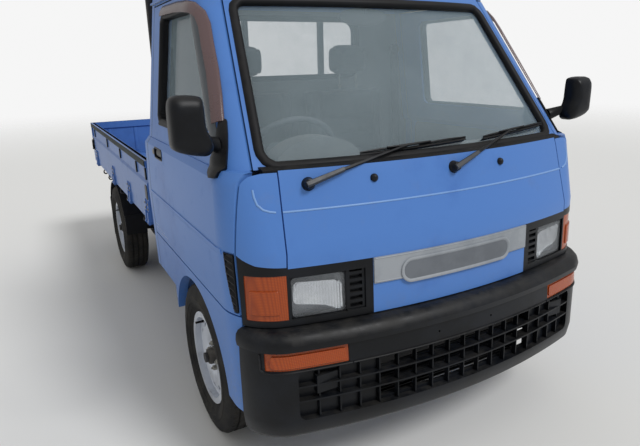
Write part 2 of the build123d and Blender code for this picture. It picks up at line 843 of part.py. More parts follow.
def window_field(margin):
    """Door window opening as a solid through the right door."""
    with BuildPart() as field:
        with BuildSketch(Plane.YZ.offset(-720)) as view:
            with BuildLine():
                Polyline([(station(d), z) for d, z in window_outline(margin)], close=True)
            make_face()
            fillet(view.vertices(), 30 - margin)
        extrude(amount=260)
    return field.part


# Door handle pocket and the seat of the vent trim behind the door's front edge
handle_span = (905, 1023)
handle_z = (943, 981)
handle_depth = 18
louvre_outline = [(150, 612), (218, 612), (232, 672), (243, 732), (249, 790), (150, 790)]
louvre_depth = 3
door_foot = door_bottom
door_head = door_top - panel_gap
with BuildPart() as door_right:
    with BuildPart(mode=Mode.PRIVATE) as door_low:
        add(lower_skin.part)
        outline = [
            (gap_line(door_foot, gap_half), door_foot),
            (gap_line(970, gap_half), 970),
            (212, belt_height - 6),
            (206, belt_height),
            (door_rear, belt_height),
            (door_rear, door_foot),
        ]
        side_prism(outline, -720, -600, Mode.INTERSECT)
    with BuildPart(mode=Mode.PRIVATE) as door_high:
        add(upper_skin.part)
        block(-720, -400, 150, door_rear, belt_height, door_head, Mode.INTERSECT)
        split(bisect_by=pillar_plane(-1, gap_half * sqrt(2)), keep=Keep.TOP)
    add(door_low.part)
    add(door_high.part)
    add(window_field(0), mode=Mode.SUBTRACT)
    with BuildPart(mode=Mode.PRIVATE) as pockets:
        add(cab_loft(lower_rows, 8))
        with BuildPart(mode=Mode.PRIVATE) as spaces:
            for height in hinge_heights:
                block(-hinge_x - 14, -570, 160, hinge_d + 16, height - 20, height + 20)
        add(spaces.part, mode=Mode.INTERSECT)
    add(pockets.part, mode=Mode.SUBTRACT)
    with BuildPart(mode=Mode.PRIVATE) as handle_pocket:
        add(cab_loft(lower_rows, handle_depth))
        block(-720, -560, handle_span[0] - 60, handle_span[1] + 60, 900, belt_height - 8, Mode.INTERSECT)
    with BuildPart(mode=Mode.PRIVATE) as handle_space:
        with BuildSketch(Plane.YZ.offset(-720)) as view:
            with Locations((station(sum(handle_span) / 2), sum(handle_z) / 2)):
                RectangleRounded(handle_span[1] - handle_span[0], handle_z[1] - handle_z[0], 10)
        extrude(view.sketch, amount=140)
        add(handle_pocket.part, mode=Mode.SUBTRACT)
    add(handle_space.part, mode=Mode.SUBTRACT)
    with BuildPart(mode=Mode.PRIVATE) as louvre_seat:
        side_prism(louvre_outline, -720, -560)
        add(cab_loft(lower_rows, louvre_depth), mode=Mode.SUBTRACT)
    add(louvre_seat.part, mode=Mode.SUBTRACT)
    for height in hinge_heights:
        with Locations((-hinge_x, station(hinge_d), height)):
            Cylinder(pin_radius + seat, pin_length + 2, mode=Mode.SUBTRACT)
save(door_right, "door_right")

with BuildPart() as door_left:
    mirror(door_right.part, about=Plane.YZ)
save(door_left, "door_left")

with BuildPart() as door_glass_right:
    add(cab_loft(upper_rows, 24, screen_lean))
    add(cab_loft(upper_rows, 24 + glass, screen_lean), mode=Mode.SUBTRACT)
    add(window_field(seat), mode=Mode.INTERSECT)
save(door_glass_right, "door_glass_right")

with BuildPart() as door_glass_left:
    mirror(door_glass_right.part, about=Plane.YZ)
save(door_glass_left, "door_glass_left")

# Door mirrors: rounded head on a foot at the window's front corner
mirror_head = (-735, 262, 1128)
sail_outline = ((272, 1008), (372, 1008), (372, 1078), (396, 1112), (336, 1112))
with BuildPart() as mirror_right:
    with BuildPart(mode=Mode.PRIVATE) as head:
        with Locations((mirror_head[0], station(mirror_head[1]), mirror_head[2])):
            Box(112, 62, 172)
        fillet(head.edges(), 24)
    with BuildPart(mode=Mode.PRIVATE) as sail:
        add(cab_loft(upper_rows, -10, screen_lean))
        add(cab_loft(upper_rows, -seat, screen_lean), mode=Mode.SUBTRACT)
        side_prism(sail_outline, -720, -540, Mode.INTERSECT)
    add(head.part)
    add(sail.part)
    block(-690, -650, 272, 326, 1062, 1092)
save(mirror_right, "mirror_right")

with BuildPart() as mirror_left:
    mirror(mirror_right.part, about=Plane.YZ)
save(mirror_left, "mirror_left")

# Bed floor on its sills, with the hinge pins of the gates
knuckle_radius = 8
gate_pin = 4.5
side_hinge_x = bed_half_width + 5
tail_hinge_d = length - knuckle_radius
floor_edge = 652
floor_front = bed_front + gate_wall + seat
floor_rear = 3238
hinge_half = 18
side_hinges = (1310, 1770, 2305, 3070)
tail_hinges = (-520, 0, 520)
cross_sills = ((1285, floor_edge), (1560, floor_edge), (1860, floor_edge), (2110, floor_edge), (2380, 400),
               (2650, 400), (2900, floor_edge), (3218, floor_edge))
sill_foot = 585
floor_foot = bed_floor_top - bed_floor_sheet
with BuildPart() as bed_floor:
    block(-floor_edge, floor_edge, floor_front, floor_rear, floor_foot, bed_floor_top)
    for behind, half in cross_sills:
        block(-half, half, behind - 20, behind + 20, sill_foot, floor_foot)
    pair(rail_inner + 5, rail_outer - 5, bed_front, tail_post, rail_top, floor_foot)
    pair(floor_edge - 15, floor_edge, bed_front, floor_rear, 598, floor_foot)
    for behind in side_hinges:
        pair(floor_edge, side_hinge_x, behind - hinge_half, behind + hinge_half, 600, 612)
        for side_x in (1, -1):
            rod(gate_pin, 2 * hinge_half, side_x * side_hinge_x, behind, gate_hinge_height, across=False)
    for hinge in tail_hinges:
        block(hinge - hinge_half, hinge + hinge_half, floor_rear, tail_hinge_d, 598, 610)
        rod(gate_pin, 2 * hinge_half, hinge, tail_hinge_d, gate_hinge_height)
save(bed_floor, "bed_floor")

with BuildPart() as bed_headboard:
    half = bed_half_width - gate_wall - panel_gap
    block(-half, half, bed_front, bed_front + gate_wall, floor_foot + seat, gate_top)
save(bed_headboard, "bed_headboard")

# Side gates: a rimmed panel, top rail and hinge knuckles
gate_front = bed_front + 4
gate_rear = 3239
gate_crease = 796
gate_step = 8
rail_foot = 862
with BuildPart() as side_gate_right:
    outer = -bed_half_width
    inner = gate_wall - bed_half_width
    profile = [(outer, gate_bottom), (outer, gate_crease - 6), (outer + gate_step, gate_crease + 5),
               (outer + gate_step, rail_foot - 4), (outer, rail_foot), (outer, gate_top), (inner, gate_top),
               (inner, gate_bottom)]
    front_prism(profile, gate_front, gate_rear)
    block(inner - 10, inner, gate_front + 60, gate_rear - 60, gate_bottom + 40, gate_top - 45, Mode.SUBTRACT)
    for behind in side_hinges:
        for end in (-1, 1):
            middle = behind + end * (hinge_half + 9)
            rod(knuckle_radius, 8, -side_hinge_x, middle, gate_hinge_height, across=False)
            block(-side_hinge_x - 5, outer, middle - 8, middle + 8, gate_hinge_height, 660)
            rod(gate_pin + seat, 9, -side_hinge_x, middle, gate_hinge_height, across=False, mode=Mode.SUBTRACT)
save(side_gate_right, "side_gate_right")

with BuildPart() as side_gate_left:
    mirror(side_gate_right.part, about=Plane.YZ)
save(side_gate_left, "side_gate_left")

tail_front = 3246
with BuildPart() as tailgate:
    profile = [(tail_front, gate_bottom), (tail_front, gate_top), (bed_rear, gate_top), (bed_rear, rail_foot),
               (bed_rear - gate_step, rail_foot - 4), (bed_rear - gate_step, gate_crease + 5),
               (bed_rear, gate_crease - 6), (bed_rear, gate_bottom)]
    side_prism(profile, -bed_half_width, bed_half_width)
    block(-600, 600, tail_front, tail_front + 9, gate_bottom + 40, gate_top - 45, Mode.SUBTRACT)
    for hinge in tail_hinges:
        for end in (-1, 1):
            middle = hinge + end * (hinge_half + 9)
            rod(knuckle_radius, 8, middle, tail_hinge_d, gate_hinge_height)
            block(middle - 8, middle + 8, bed_rear, tail_hinge_d + 5, gate_hinge_height, 660)
            rod(gate_pin + seat, 9, middle, tail_hinge_d, gate_hinge_height, mode=Mode.SUBTRACT)
save(tailgate, "tailgate")

# Guard frame behind the cab, standing on the headboard
guard_outer = 579
guard_tube = 37
with BuildPart() as cab_guard:
    pair(guard_outer - guard_tube, guard_outer, bed_front, bed_front + gate_wall, gate_top, guard_top)
    block(-guard_outer, guard_outer, bed_front, bed_front + gate_wall, guard_top - guard_tube, guard_top)
    pair(178, 202, bed_front + 2, bed_front + gate_wall - 2, gate_top, guard_top - guard_tube)
    block(-guard_outer, guard_outer, bed_front + 2, bed_front + gate_wall - 2, 1180, 1204)
save(cab_guard, "cab_guard")

# Rear mudguards, flaps behind the wheels and splash plates ahead of them
guard_radius = tyre_radius + 32
guard_sheet = 5
flap_span = (545, 668)
with BuildPart() as rear_mudguards:
    behind_axle = front_overhang + wheelbase
    middle = (flap_span[0] + flap_span[1]) / 2
    half = (flap_span[1] - flap_span[0]) / 2
    with BuildPart(mode=Mode.PRIVATE) as arcs:
        rod(guard_radius + guard_sheet, half, middle, behind_axle, tyre_radius)
        rod(guard_radius, half + 1, middle, behind_axle, tyre_radius, mode=Mode.SUBTRACT)
        block(400, 720, behind_axle - 300, behind_axle + 300, tyre_radius + 60, 700, Mode.INTERSECT)
    add(arcs.part)
    block(*flap_span, behind_axle + 296, behind_axle + 301, 150, 420)
    block(*flap_span, behind_axle - 302, behind_axle - 297, 300, 420)
    block(flap_span[0], 560, behind_axle - 22, behind_axle + 22, tyre_radius + guard_radius + 3, floor_foot)
    mirror(about=Plane.YZ)
save(rear_mudguards, "rear_mudguards")

with BuildPart() as tail_lamps:
    pair(455, 600, 3262, 3288, 478, 552)
save(tail_lamps, "tail_lamps")

# Fuel tank against the left rail, and the exhaust with its silencer
with BuildPart() as fuel_tank:
    block(rail_outer, 610, 1440, 1900, 335, 520)
    fillet(fuel_tank.edges().filter_by(Axis.Y), 30)
save(fuel_tank, "fuel_tank")

pipe_radius = 18
pipe_height = 332
silencer_x = -245
with BuildPart() as exhaust:
    for route in (
        [(-225, 1198), (-225, 1420), (silencer_x, 1560), (silencer_x, 1662)],
        [(silencer_x, 2018), (silencer_x, 2110), (-300, 2290), (-300, 3245)],
    ):
        with BuildLine() as path:
            FilletPolyline([(x, station(d), pipe_height) for x, d in route], radius=70)
        with BuildSketch(Plane(origin=path.line @ 0, z_dir=path.line % 0)):
            Circle(pipe_radius)
        sweep(path=path.line)
    rod(58, 180, silencer_x, 1840, pipe_height - 10, across=False)
save(exhaust, "exhaust")

# Spare wheel under the bed's tail, hung on its rod
spare_behind = 2985
spare_height = 262
spare_plane = Plane(origin=(0, station(spare_behind), spare_height), x_dir=(0, 0, -1), z_dir=(1, 0, 0))
save(make_tyre(spare_plane), "spare_tyre")
spare_rim = make_rim(spare_plane)
with BuildPart() as spare_wheel:
    add(spare_rim.part)
    disc = spare_height - (hub_plane - half_track)
    with Locations((0, station(spare_behind), (disc + crossmembers[5][1] - seat) / 2)):
        Cylinder(stub_radius - 6, crossmembers[5][1] - seat - disc)
    with Locations((0, station(spare_behind), disc + 6)):
        Cylinder(50, 12)
save(spare_wheel, "spare_rim")

# Wipers: bands that follow the screen's bow, and bosses standing on the panel
# Wiper places: pivot x and z, blade's inner end x and z, outer end x and z
wiper_places = ((-461, 965, -280, 1018, 110, 1031), (10, 968, 188, 1027, 530, 1044))
blade_height = 12
arm_height = 14
boss_radius = 15
# Front face of the arms, in sections like the cab's
arm_rows = (
    (950, 90, 599, 671, cab_back),
    (1000, 108, 600, 668, cab_back),
    (1045, 158, 590, 660, cab_back),
)
with BuildPart() as wipers:
    with BuildPart(mode=Mode.PRIVATE) as blades:
        for pivot_x, pivot_z, x0, z0, x1, z1 in wiper_places:
            front_prism([(x0, z0), (x1, z1), (x1, z1 + blade_height), (x0, z0 + blade_height)], 0, 500)
        with BuildPart(mode=Mode.PRIVATE) as band:
            add(cab_loft(upper_rows, -18, screen_lean))
            add(cab_loft(upper_rows, glass_depth - seat, screen_lean), mode=Mode.SUBTRACT)
        add(band.part, mode=Mode.INTERSECT)
    with BuildPart(mode=Mode.PRIVATE) as arms:
        for pivot_x, pivot_z, x0, z0, x1, z1 in wiper_places:
            grip_x, grip_z = (0.6 * x0 + 0.4 * x1, 0.6 * z0 + 0.4 * z1)
            front_prism([(pivot_x, pivot_z - arm_height / 2), (grip_x, grip_z), (grip_x, grip_z + blade_height),
                         (pivot_x, pivot_z + arm_height)], 0, 500)
        with BuildPart(mode=Mode.PRIVATE) as band:
            add(cab_loft(arm_rows))
            add(cab_loft(arm_rows, 10), mode=Mode.SUBTRACT)
        add(band.part, mode=Mode.INTERSECT)
    with BuildPart(mode=Mode.PRIVATE) as bosses:
        for pivot_x, pivot_z, *blade in wiper_places:
            surface = 113 + pivot_x**2 / (2 * bow_radius)
            rod(boss_radius, 16, pivot_x, surface - 10, pivot_z, across=False)
        add(cab_loft(lower_rows, -seat), mode=Mode.SUBTRACT)
    add(blades.part)
    add(arms.part)
    add(bosses.part)
save(wipers, "wipers")

# Dashboard with the instrument hood, on the bulkhead's rear face
sheet_wall = 12
dash_half = 605
dash_rear = 430
hood_half = 150
wheel_x = -330
with BuildPart() as dashboard:
    with BuildPart(mode=Mode.PRIVATE) as dash_form:
        side_prism([(90, 985), (300, 1003), (395, 990), (dash_rear, 945), (412, 850), (330, 790), (90, 790)],
                   -dash_half, dash_half)
        pair(526, 700, 0, 268, floor_top, belt_height + 10, Mode.SUBTRACT)
    add(dash_form.part)
    add(cab_loft(lower_rows, bulkhead_gap + sheet_wall + seat), mode=Mode.INTERSECT)
    with BuildSketch(Plane.XZ.offset(-station(330))) as hood_view:
        with Locations((wheel_x, 980)):
            Ellipse(hood_half, 82)
    extrude(hood_view.sketch, amount=-90)
save(dashboard, "dashboard")

# Steering wheel on its column
wheel_tilt = radians(60)
ring_radius = 178
ring_grip = 11
hub_depth = 30
wheel_centre = (wheel_x, station(572), 950)
wheel_frame = Plane(origin=wheel_centre, x_dir=(1, 0, 0), z_dir=(0, sin(wheel_tilt), cos(wheel_tilt)))
with BuildPart() as steering_wheel:
    with Locations(wheel_frame.location):
        Torus(ring_radius, ring_grip)
        Cylinder(42, hub_depth)
    with BuildSketch(wheel_frame):
        with PolarLocations(ring_radius / 2, 3, start_angle=-90):
            Rectangle(ring_radius, 34)
    extrude(amount=6, both=True)
save(steering_wheel, "steering_wheel")

with BuildPart() as steering_column:
    with BuildSketch(wheel_frame.offset(-hub_depth / 2 - seat)):
        Circle(26)
    extrude(amount=-230)
    add(dashboard.part, mode=Mode.SUBTRACT)
save(steering_column, "steering_column")

# Two seats: cushion, back and headrest on two posts
seat_inner = 25
seat_outer = 455
cushion_top = 785
back_top = 1175
with BuildPart() as seat_cushions:
    block(seat_inner, seat_outer, 715, 1150, riser_top + seat, cushion_top)
    fillet(seat_cushions.edges().group_by(Axis.Z)[-1], 35)
    mirror(about=Plane.YZ)
save(seat_cushions, "seat_cushions")

with BuildPart() as seat_backs:
    foot = cushion_top + seat
    side_prism([(1075, foot), (1160, foot), (1192, back_top), (1128, back_top)], seat_inner, seat_outer)
    fillet(seat_backs.edges().filter_by(Axis.X), 18)
    mirror(about=Plane.YZ)
save(seat_backs, "seat_backs")

headrest_x = (seat_inner + seat_outer) / 2
with BuildPart() as headrests:
    with Locations((headrest_x, station(1150), 1290)):
        Box(258, 78, 156)
    fillet(headrests.edges(), 24)
    for post_x in (headrest_x - 60, headrest_x + 60):
        with Locations((post_x, station(1158), (back_top + seat + 1225) / 2)):
            Cylinder(6, 1225 - back_top - seat)
    mirror(about=Plane.YZ)
save(headrests, "headrests")
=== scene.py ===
"""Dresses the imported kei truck: paint, glass, lamps, seals, trim, tyres, seats and the small parts on them.

Meshes are in metres in the truck's own frame: +Z up, the truck faces -Y, the origin on the ground below its middle.
"Behind" values are distances back from the front face of the bumper, as on a workshop drawing. They and all other
sizes are in millimetres. Parts that come in pairs are made for the right side, where X is below 0, and mirrored.
"""

import json
import logging
import math
from dataclasses import dataclass, field
from enum import Enum
from functools import partial
from typing import Callable, Iterable, Sequence

import bmesh
import bpy
from mathutils import Matrix, Vector

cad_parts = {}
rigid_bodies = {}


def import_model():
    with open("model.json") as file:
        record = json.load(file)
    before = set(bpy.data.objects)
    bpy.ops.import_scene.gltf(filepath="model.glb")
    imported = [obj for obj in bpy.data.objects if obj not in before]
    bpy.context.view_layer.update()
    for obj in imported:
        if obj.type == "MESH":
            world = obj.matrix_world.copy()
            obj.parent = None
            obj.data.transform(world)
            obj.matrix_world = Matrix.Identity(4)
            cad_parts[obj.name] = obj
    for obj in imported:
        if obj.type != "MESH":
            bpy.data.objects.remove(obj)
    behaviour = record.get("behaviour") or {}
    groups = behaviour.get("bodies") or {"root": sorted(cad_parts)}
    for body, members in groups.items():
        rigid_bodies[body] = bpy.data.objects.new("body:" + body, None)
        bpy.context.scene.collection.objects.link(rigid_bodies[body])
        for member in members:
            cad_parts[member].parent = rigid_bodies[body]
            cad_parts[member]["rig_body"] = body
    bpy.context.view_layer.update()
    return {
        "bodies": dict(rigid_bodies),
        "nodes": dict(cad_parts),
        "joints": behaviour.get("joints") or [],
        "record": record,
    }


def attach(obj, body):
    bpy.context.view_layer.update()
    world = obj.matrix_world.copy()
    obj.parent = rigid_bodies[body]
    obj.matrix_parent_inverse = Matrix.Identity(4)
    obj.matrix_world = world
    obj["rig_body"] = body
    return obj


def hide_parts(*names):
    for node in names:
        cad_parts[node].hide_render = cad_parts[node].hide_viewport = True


LOG = logging.getLogger("kei_truck")
MM = 0.001
LENGTH = 3295.0
AXLES = {"front": 610.0, "rear": 2510.0}
Point = tuple[float, float, float]
Flat = Sequence[tuple[float, float]]
Sizes = tuple[float, ...]
Mesh = bpy.types.Mesh
Socket = bpy.types.NodeSocket
Spot = tuple[Vector, Vector]
Place = Callable[[float, float], Spot]
ACROSS, BACK, UP = Vector((1, 0, 0)), Vector((0, 1, 0)), Vector((0, 0, 1))
RIGHT_OUT = -ACROSS


def at(x: float, behind: float, z: float) -> Vector:
    """Point in metres from millimetres: across, behind the bumper's front, above the ground."""
    return Vector((x * MM, (behind - LENGTH / 2) * MM, z * MM))


class Side(Enum):
    """The truck's two sides, with the sign of X on each."""

    RIGHT = -1
    LEFT = 1


class Pattern(Enum):
    """Kinds of fine relief that a finish may carry."""

    GRAIN = "grain"
    WEAVE = "weave"
    RIBS = "ribs"


class Tree:
    """Short hand for building one node tree of a material."""

    def __init__(self, name: str) -> None:
        """Starts an empty material of that name."""
        self.material = bpy.data.materials.new(name)
        self.material.use_nodes = True
        self.nodes, self.links = self.material.node_tree.nodes, self.material.node_tree.links
        self.nodes.clear()
        self.coords = self.nodes.new("ShaderNodeTexCoord").outputs["Object"]

    def add(self, kind: str, **settings: object) -> bpy.types.Node:
        """Adds a node.

        Args:
            kind: the node's type without the Shader prefix, such as "TexNoise".
            settings: its own properties, or its inputs with underscores for blanks, as a value or an output.

        Returns:
            The new node.
        """
        node = self.nodes.new("ShaderNode" + kind)
        for key, value in settings.items():
            if hasattr(node, key):
                setattr(node, key, value)
            else:
                self.put(node.inputs[key.replace("_", " ")], value)
        return node

    def put(self, socket: Socket, value: object) -> None:
        """Links an output to a socket, or sets the socket's own value."""
        if isinstance(value, Socket):
            self.links.new(value, socket)
        else:
            socket.default_value = value

    def noise(self, scale: float, detail: float = 4.0, rough: float = 0.6) -> Socket:
        """Noise on the object's own coordinates: waves in each metre, octaves, share each finer octave keeps."""
        return self.add("TexNoise", Vector=self.coords, Scale=scale, Detail=detail, Roughness=rough).outputs[0]

    def ramp(self, value: Socket, low: float, high: float, start: float = 0.0, end: float = 1.0) -> Socket:
        """Maps a value from low..high to start..end, clamped and eased."""
        node = self.add("MapRange", interpolation_type="SMOOTHSTEP", clamp=True)
        for socket, number in zip(node.inputs, (value, low, high, start, end)):
            self.put(socket, number)
        return node.outputs[0]

    def mix(self, factor: object, first: object, second: object) -> Socket:
        """Mixes two colours, each an output or three sRGB parts, by a factor."""
        node = self.add("Mix", data_type="RGBA")
        for index, value in ((0, factor), (6, first), (7, second)):
            self.put(node.inputs[index], rgba(value) if isinstance(value, tuple) else value)
        return node.outputs[2]

    def math(self, operation: str, first: object, second: object = 0.0) -> Socket:
        """One step of arithmetic on two numbers."""
        node = self.add("Math", operation=operation)
        self.put(node.inputs[0], first)
        self.put(node.inputs[1], second)
        return node.outputs[0]

    def times(self, first: object, second: object) -> Socket:
        """Product of two numbers."""
        return self.math("MULTIPLY", first, second)

    def plus(self, first: object, second: object) -> Socket:
        """Sum of two numbers."""
        return self.math("ADD", first, second)

    def sine(self, value: object, pitch: float) -> Socket:
        """Sine of a value times a pitch."""
        return self.math("SINE", self.times(value, pitch))

    def ridges(self, value: object, pitch: float) -> Socket:
        """Round ridges from 0 to 1 along a value."""
        return self.math("ABSOLUTE", self.sine(value, pitch))

    def bump(self, height: Socket, depth: float, strength: float) -> Socket:
        """Turns a height in 0..1 into a normal, depth in metres."""
        return self.add("Bump", Height=height, Distance=depth, Strength=strength).outputs[0]

    def split(self, vector: Socket) -> Sequence[Socket]:
        """The three parts of a vector."""
        return self.add("SeparateXYZ", Vector=vector).outputs

    def facing(self) -> Sequence[Socket]:
        """The three parts of the surface's own direction."""
        return self.split(self.add("NewGeometry").outputs["Normal"])

    def close(self, **settings: object) -> bpy.types.Material:
        """Ends the tree in a principled shader with these settings and hands over the material."""
        shader = self.add("BsdfPrincipled", **settings)
        self.links.new(shader.outputs[0], self.nodes.new("ShaderNodeOutputMaterial").inputs["Surface"])
        return self.material


def rgba(colour: Point) -> tuple[float, float, float, float]:
    """Linear colour from three sRGB parts in 0..255."""
    parts = (part / 255 for part in colour)
    red, green, blue = (p / 12.92 if p <= 0.04045 else ((p + 0.055) / 1.055) ** 2.4 for p in parts)
    return red, green, blue, 1.0


@dataclass(frozen=True)
class Paint:
    """Weathered car paint: faded patches, dust low down whose dark grey is partly painted shade, fine relief and a
    worn clear coat.

    A lined paint turns to the lining's colour where the surface faces as lined says, for the cab's inner faces.
    """

    name: str
    colour: Point
    patch: Point
    dust_top: float = 0.75
    dust_foot: float = 0.25
    dirt: float = 0.28
    lining: Point = (116, 124, 126)
    lined: Point = (0.0, 0.0, 0.0)
    # Dust colour: grey dust, darkened as painted shade for the doors' side.
    dust: Point = (118, 116, 112)
    roughness: float = 0.38

    def build(self) -> bpy.types.Material:
        """Makes the material."""
        tree = Tree(self.name)
        cloud = tree.ramp(tree.noise(2.3, 5.0, 0.62), 0.50, 0.66)
        fine = tree.ramp(tree.noise(9.0, 6.0, 0.7), 0.55, 0.75)
        blotch = tree.times(cloud, tree.ramp(tree.noise(26.0, 4.0, 0.7), 0.3, 0.7, 0.5, 1.0))
        base = tree.mix(tree.times(blotch, 0.75), self.colour, self.patch)
        base = tree.mix(tree.times(fine, 0.10), base, self.dust)
        low = tree.ramp(tree.split(tree.coords)[2], self.dust_foot, self.dust_top, 1.0, 0.0)
        specks = tree.ramp(tree.noise(60.0, 5.0, 0.75), 0.45, 0.72)
        base = tree.mix(tree.times(tree.times(low, specks), self.dirt), base, self.dust)
        if any(self.lined):
            turned_in = 0.0
            for part, share in zip(tree.facing(), self.lined):
                turned_in = tree.plus(turned_in, tree.times(part, share))
            base = tree.mix(tree.ramp(turned_in, 0.35, 0.5), base, self.lining)
        return tree.close(Base_Color=base, Roughness=tree.plus(tree.times(fine, 0.2), self.roughness),
                          Coat_Weight=0.12, Coat_Roughness=0.14, Specular_IOR_Level=0.22,
                          Normal=tree.bump(tree.noise(5.0, 2.0), 0.0012, 0.25))


@dataclass(frozen=True)
class Plain:
    """Moulded or cast surface: two near colours, grain, dust on what faces up."""

    name: str
    colour: Point
    second: Point
    roughness: float = 0.5
    dusty: float = 0.25
    depth: float = 0.0003
    metallic: float = 0.0
    gloss: float = 0.5
    grain: float = 350.0
    pattern: Pattern = Pattern.GRAIN
    dust: Point = (150, 144, 132)

    def build(self) -> bpy.types.Material:
        """Makes the material."""
        tree = Tree(self.name)
        base = tree.mix(tree.ramp(tree.noise(6.0, 5.0, 0.65), 0.4, 0.65), self.colour, self.second)
        up = tree.facing()[2]
        lying = tree.times(tree.ramp(up, 0.1, 0.95), tree.ramp(tree.noise(18.0, 6.0, 0.7), 0.35, 0.7))
        base = tree.mix(tree.times(lying, self.dusty), base, self.dust)
        x, y, z = tree.split(tree.coords)
        if self.pattern is Pattern.WEAVE:
            relief = tree.times(tree.sine(x, self.grain), tree.sine(tree.plus(y, z), self.grain))
        elif self.pattern is Pattern.RIBS:
            relief = tree.ridges(x, self.grain)
        else:
            relief = tree.noise(self.grain, 3.0, 0.6)
        return tree.close(Base_Color=base, Roughness=tree.plus(tree.times(lying, 0.25), self.roughness),
                          Metallic=self.metallic, Specular_IOR_Level=self.gloss,
                          Sheen_Weight=0.4 if self.pattern is Pattern.WEAVE else 0.0,
                          Normal=tree.bump(relief, self.depth, 0.8))


@dataclass(frozen=True)
class Rusty:
    """Old steel: paint or bare metal with rust blooming through and dirt in it."""

    name: str
    colour: Point
    spread: float = 0.58
    metallic: float = 0.0
    roughness: float = 0.55
    rust: Point = (96, 58, 36)
    deep_rust: Point = (58, 38, 28)
    grime: Point = (92, 84, 72)

    def build(self) -> bpy.types.Material:
        """Makes the material."""
        tree = Tree(self.name)
        bloom = tree.ramp(tree.noise(14.0, 8.0, 0.72), self.spread, self.spread + 0.12)
        pits = tree.noise(160.0, 4.0, 0.7)
        base = tree.mix(bloom, self.colour, tree.mix(tree.ramp(pits, 0.35, 0.65), self.rust, self.deep_rust))
        base = tree.mix(tree.times(tree.ramp(tree.noise(5.0, 6.0, 0.7), 0.5, 0.75), 0.45), base, self.grime)
        return tree.close(Base_Color=base, Roughness=tree.plus(tree.times(bloom, 0.3), self.roughness),
                          Metallic=tree.times(tree.math("SUBTRACT", 1.0, bloom), self.metallic),
                          Normal=tree.bump(tree.times(bloom, pits), 0.0008, 0.7))


@dataclass(frozen=True)
class Pane:
    """Flat glass: clear when looked through square on, mirror-like at a slant, where the windows' pale colour is
    painted reflection; a film over it that is partly dust and partly painted reflection; ribbed if asked.
    """

    name: str
    colour: Point
    body: float
    slant: float
    ribs: float = 0.0
    roughness: float = 0.04
    gloss: float = 1.0

    def build(self) -> bpy.types.Material:
        """Makes the material."""
        tree = Tree(self.name)
        # Noisy film: partly dust, partly painted pale reflection.
        dust_and_reflection_film = tree.ramp(tree.noise(3.0, 6.0, 0.7), 0.35, 0.8, 0.0, 0.07)
        edge = tree.times(tree.add("LayerWeight", Blend=0.35).outputs["Facing"], self.slant - self.body)
        relief = {}
        if self.ribs:
            relief["Normal"] = tree.bump(tree.ridges(tree.split(tree.coords)[0], self.ribs), 0.0012, 0.9)
        return tree.close(Base_Color=rgba(self.colour), Roughness=self.roughness, IOR=1.5,
                          Alpha=tree.plus(tree.plus(edge, dust_and_reflection_film), self.body), Specular_IOR_Level=self.gloss, **relief)


@dataclass(frozen=True)
class Lens:
    """Coloured lamp plastic with moulded prisms."""

    name: str
    colour: Point
    deep: Point
    pitch: float = 700.0

    def build(self) -> bpy.types.Material:
        """Makes the material."""
        tree = Tree(self.name)
        x, y, z = tree.split(tree.coords)
        prisms = tree.times(tree.ridges(tree.plus(x, y), self.pitch), tree.ridges(z, self.pitch))
        return tree.close(Base_Color=tree.mix(prisms, self.deep, self.colour), Roughness=0.22, IOR=1.45,
                          Coat_Weight=0.1, Subsurface_Weight=0.1, Subsurface_Scale=0.01,
                          Normal=tree.bump(prisms, 0.0006, 0.3))


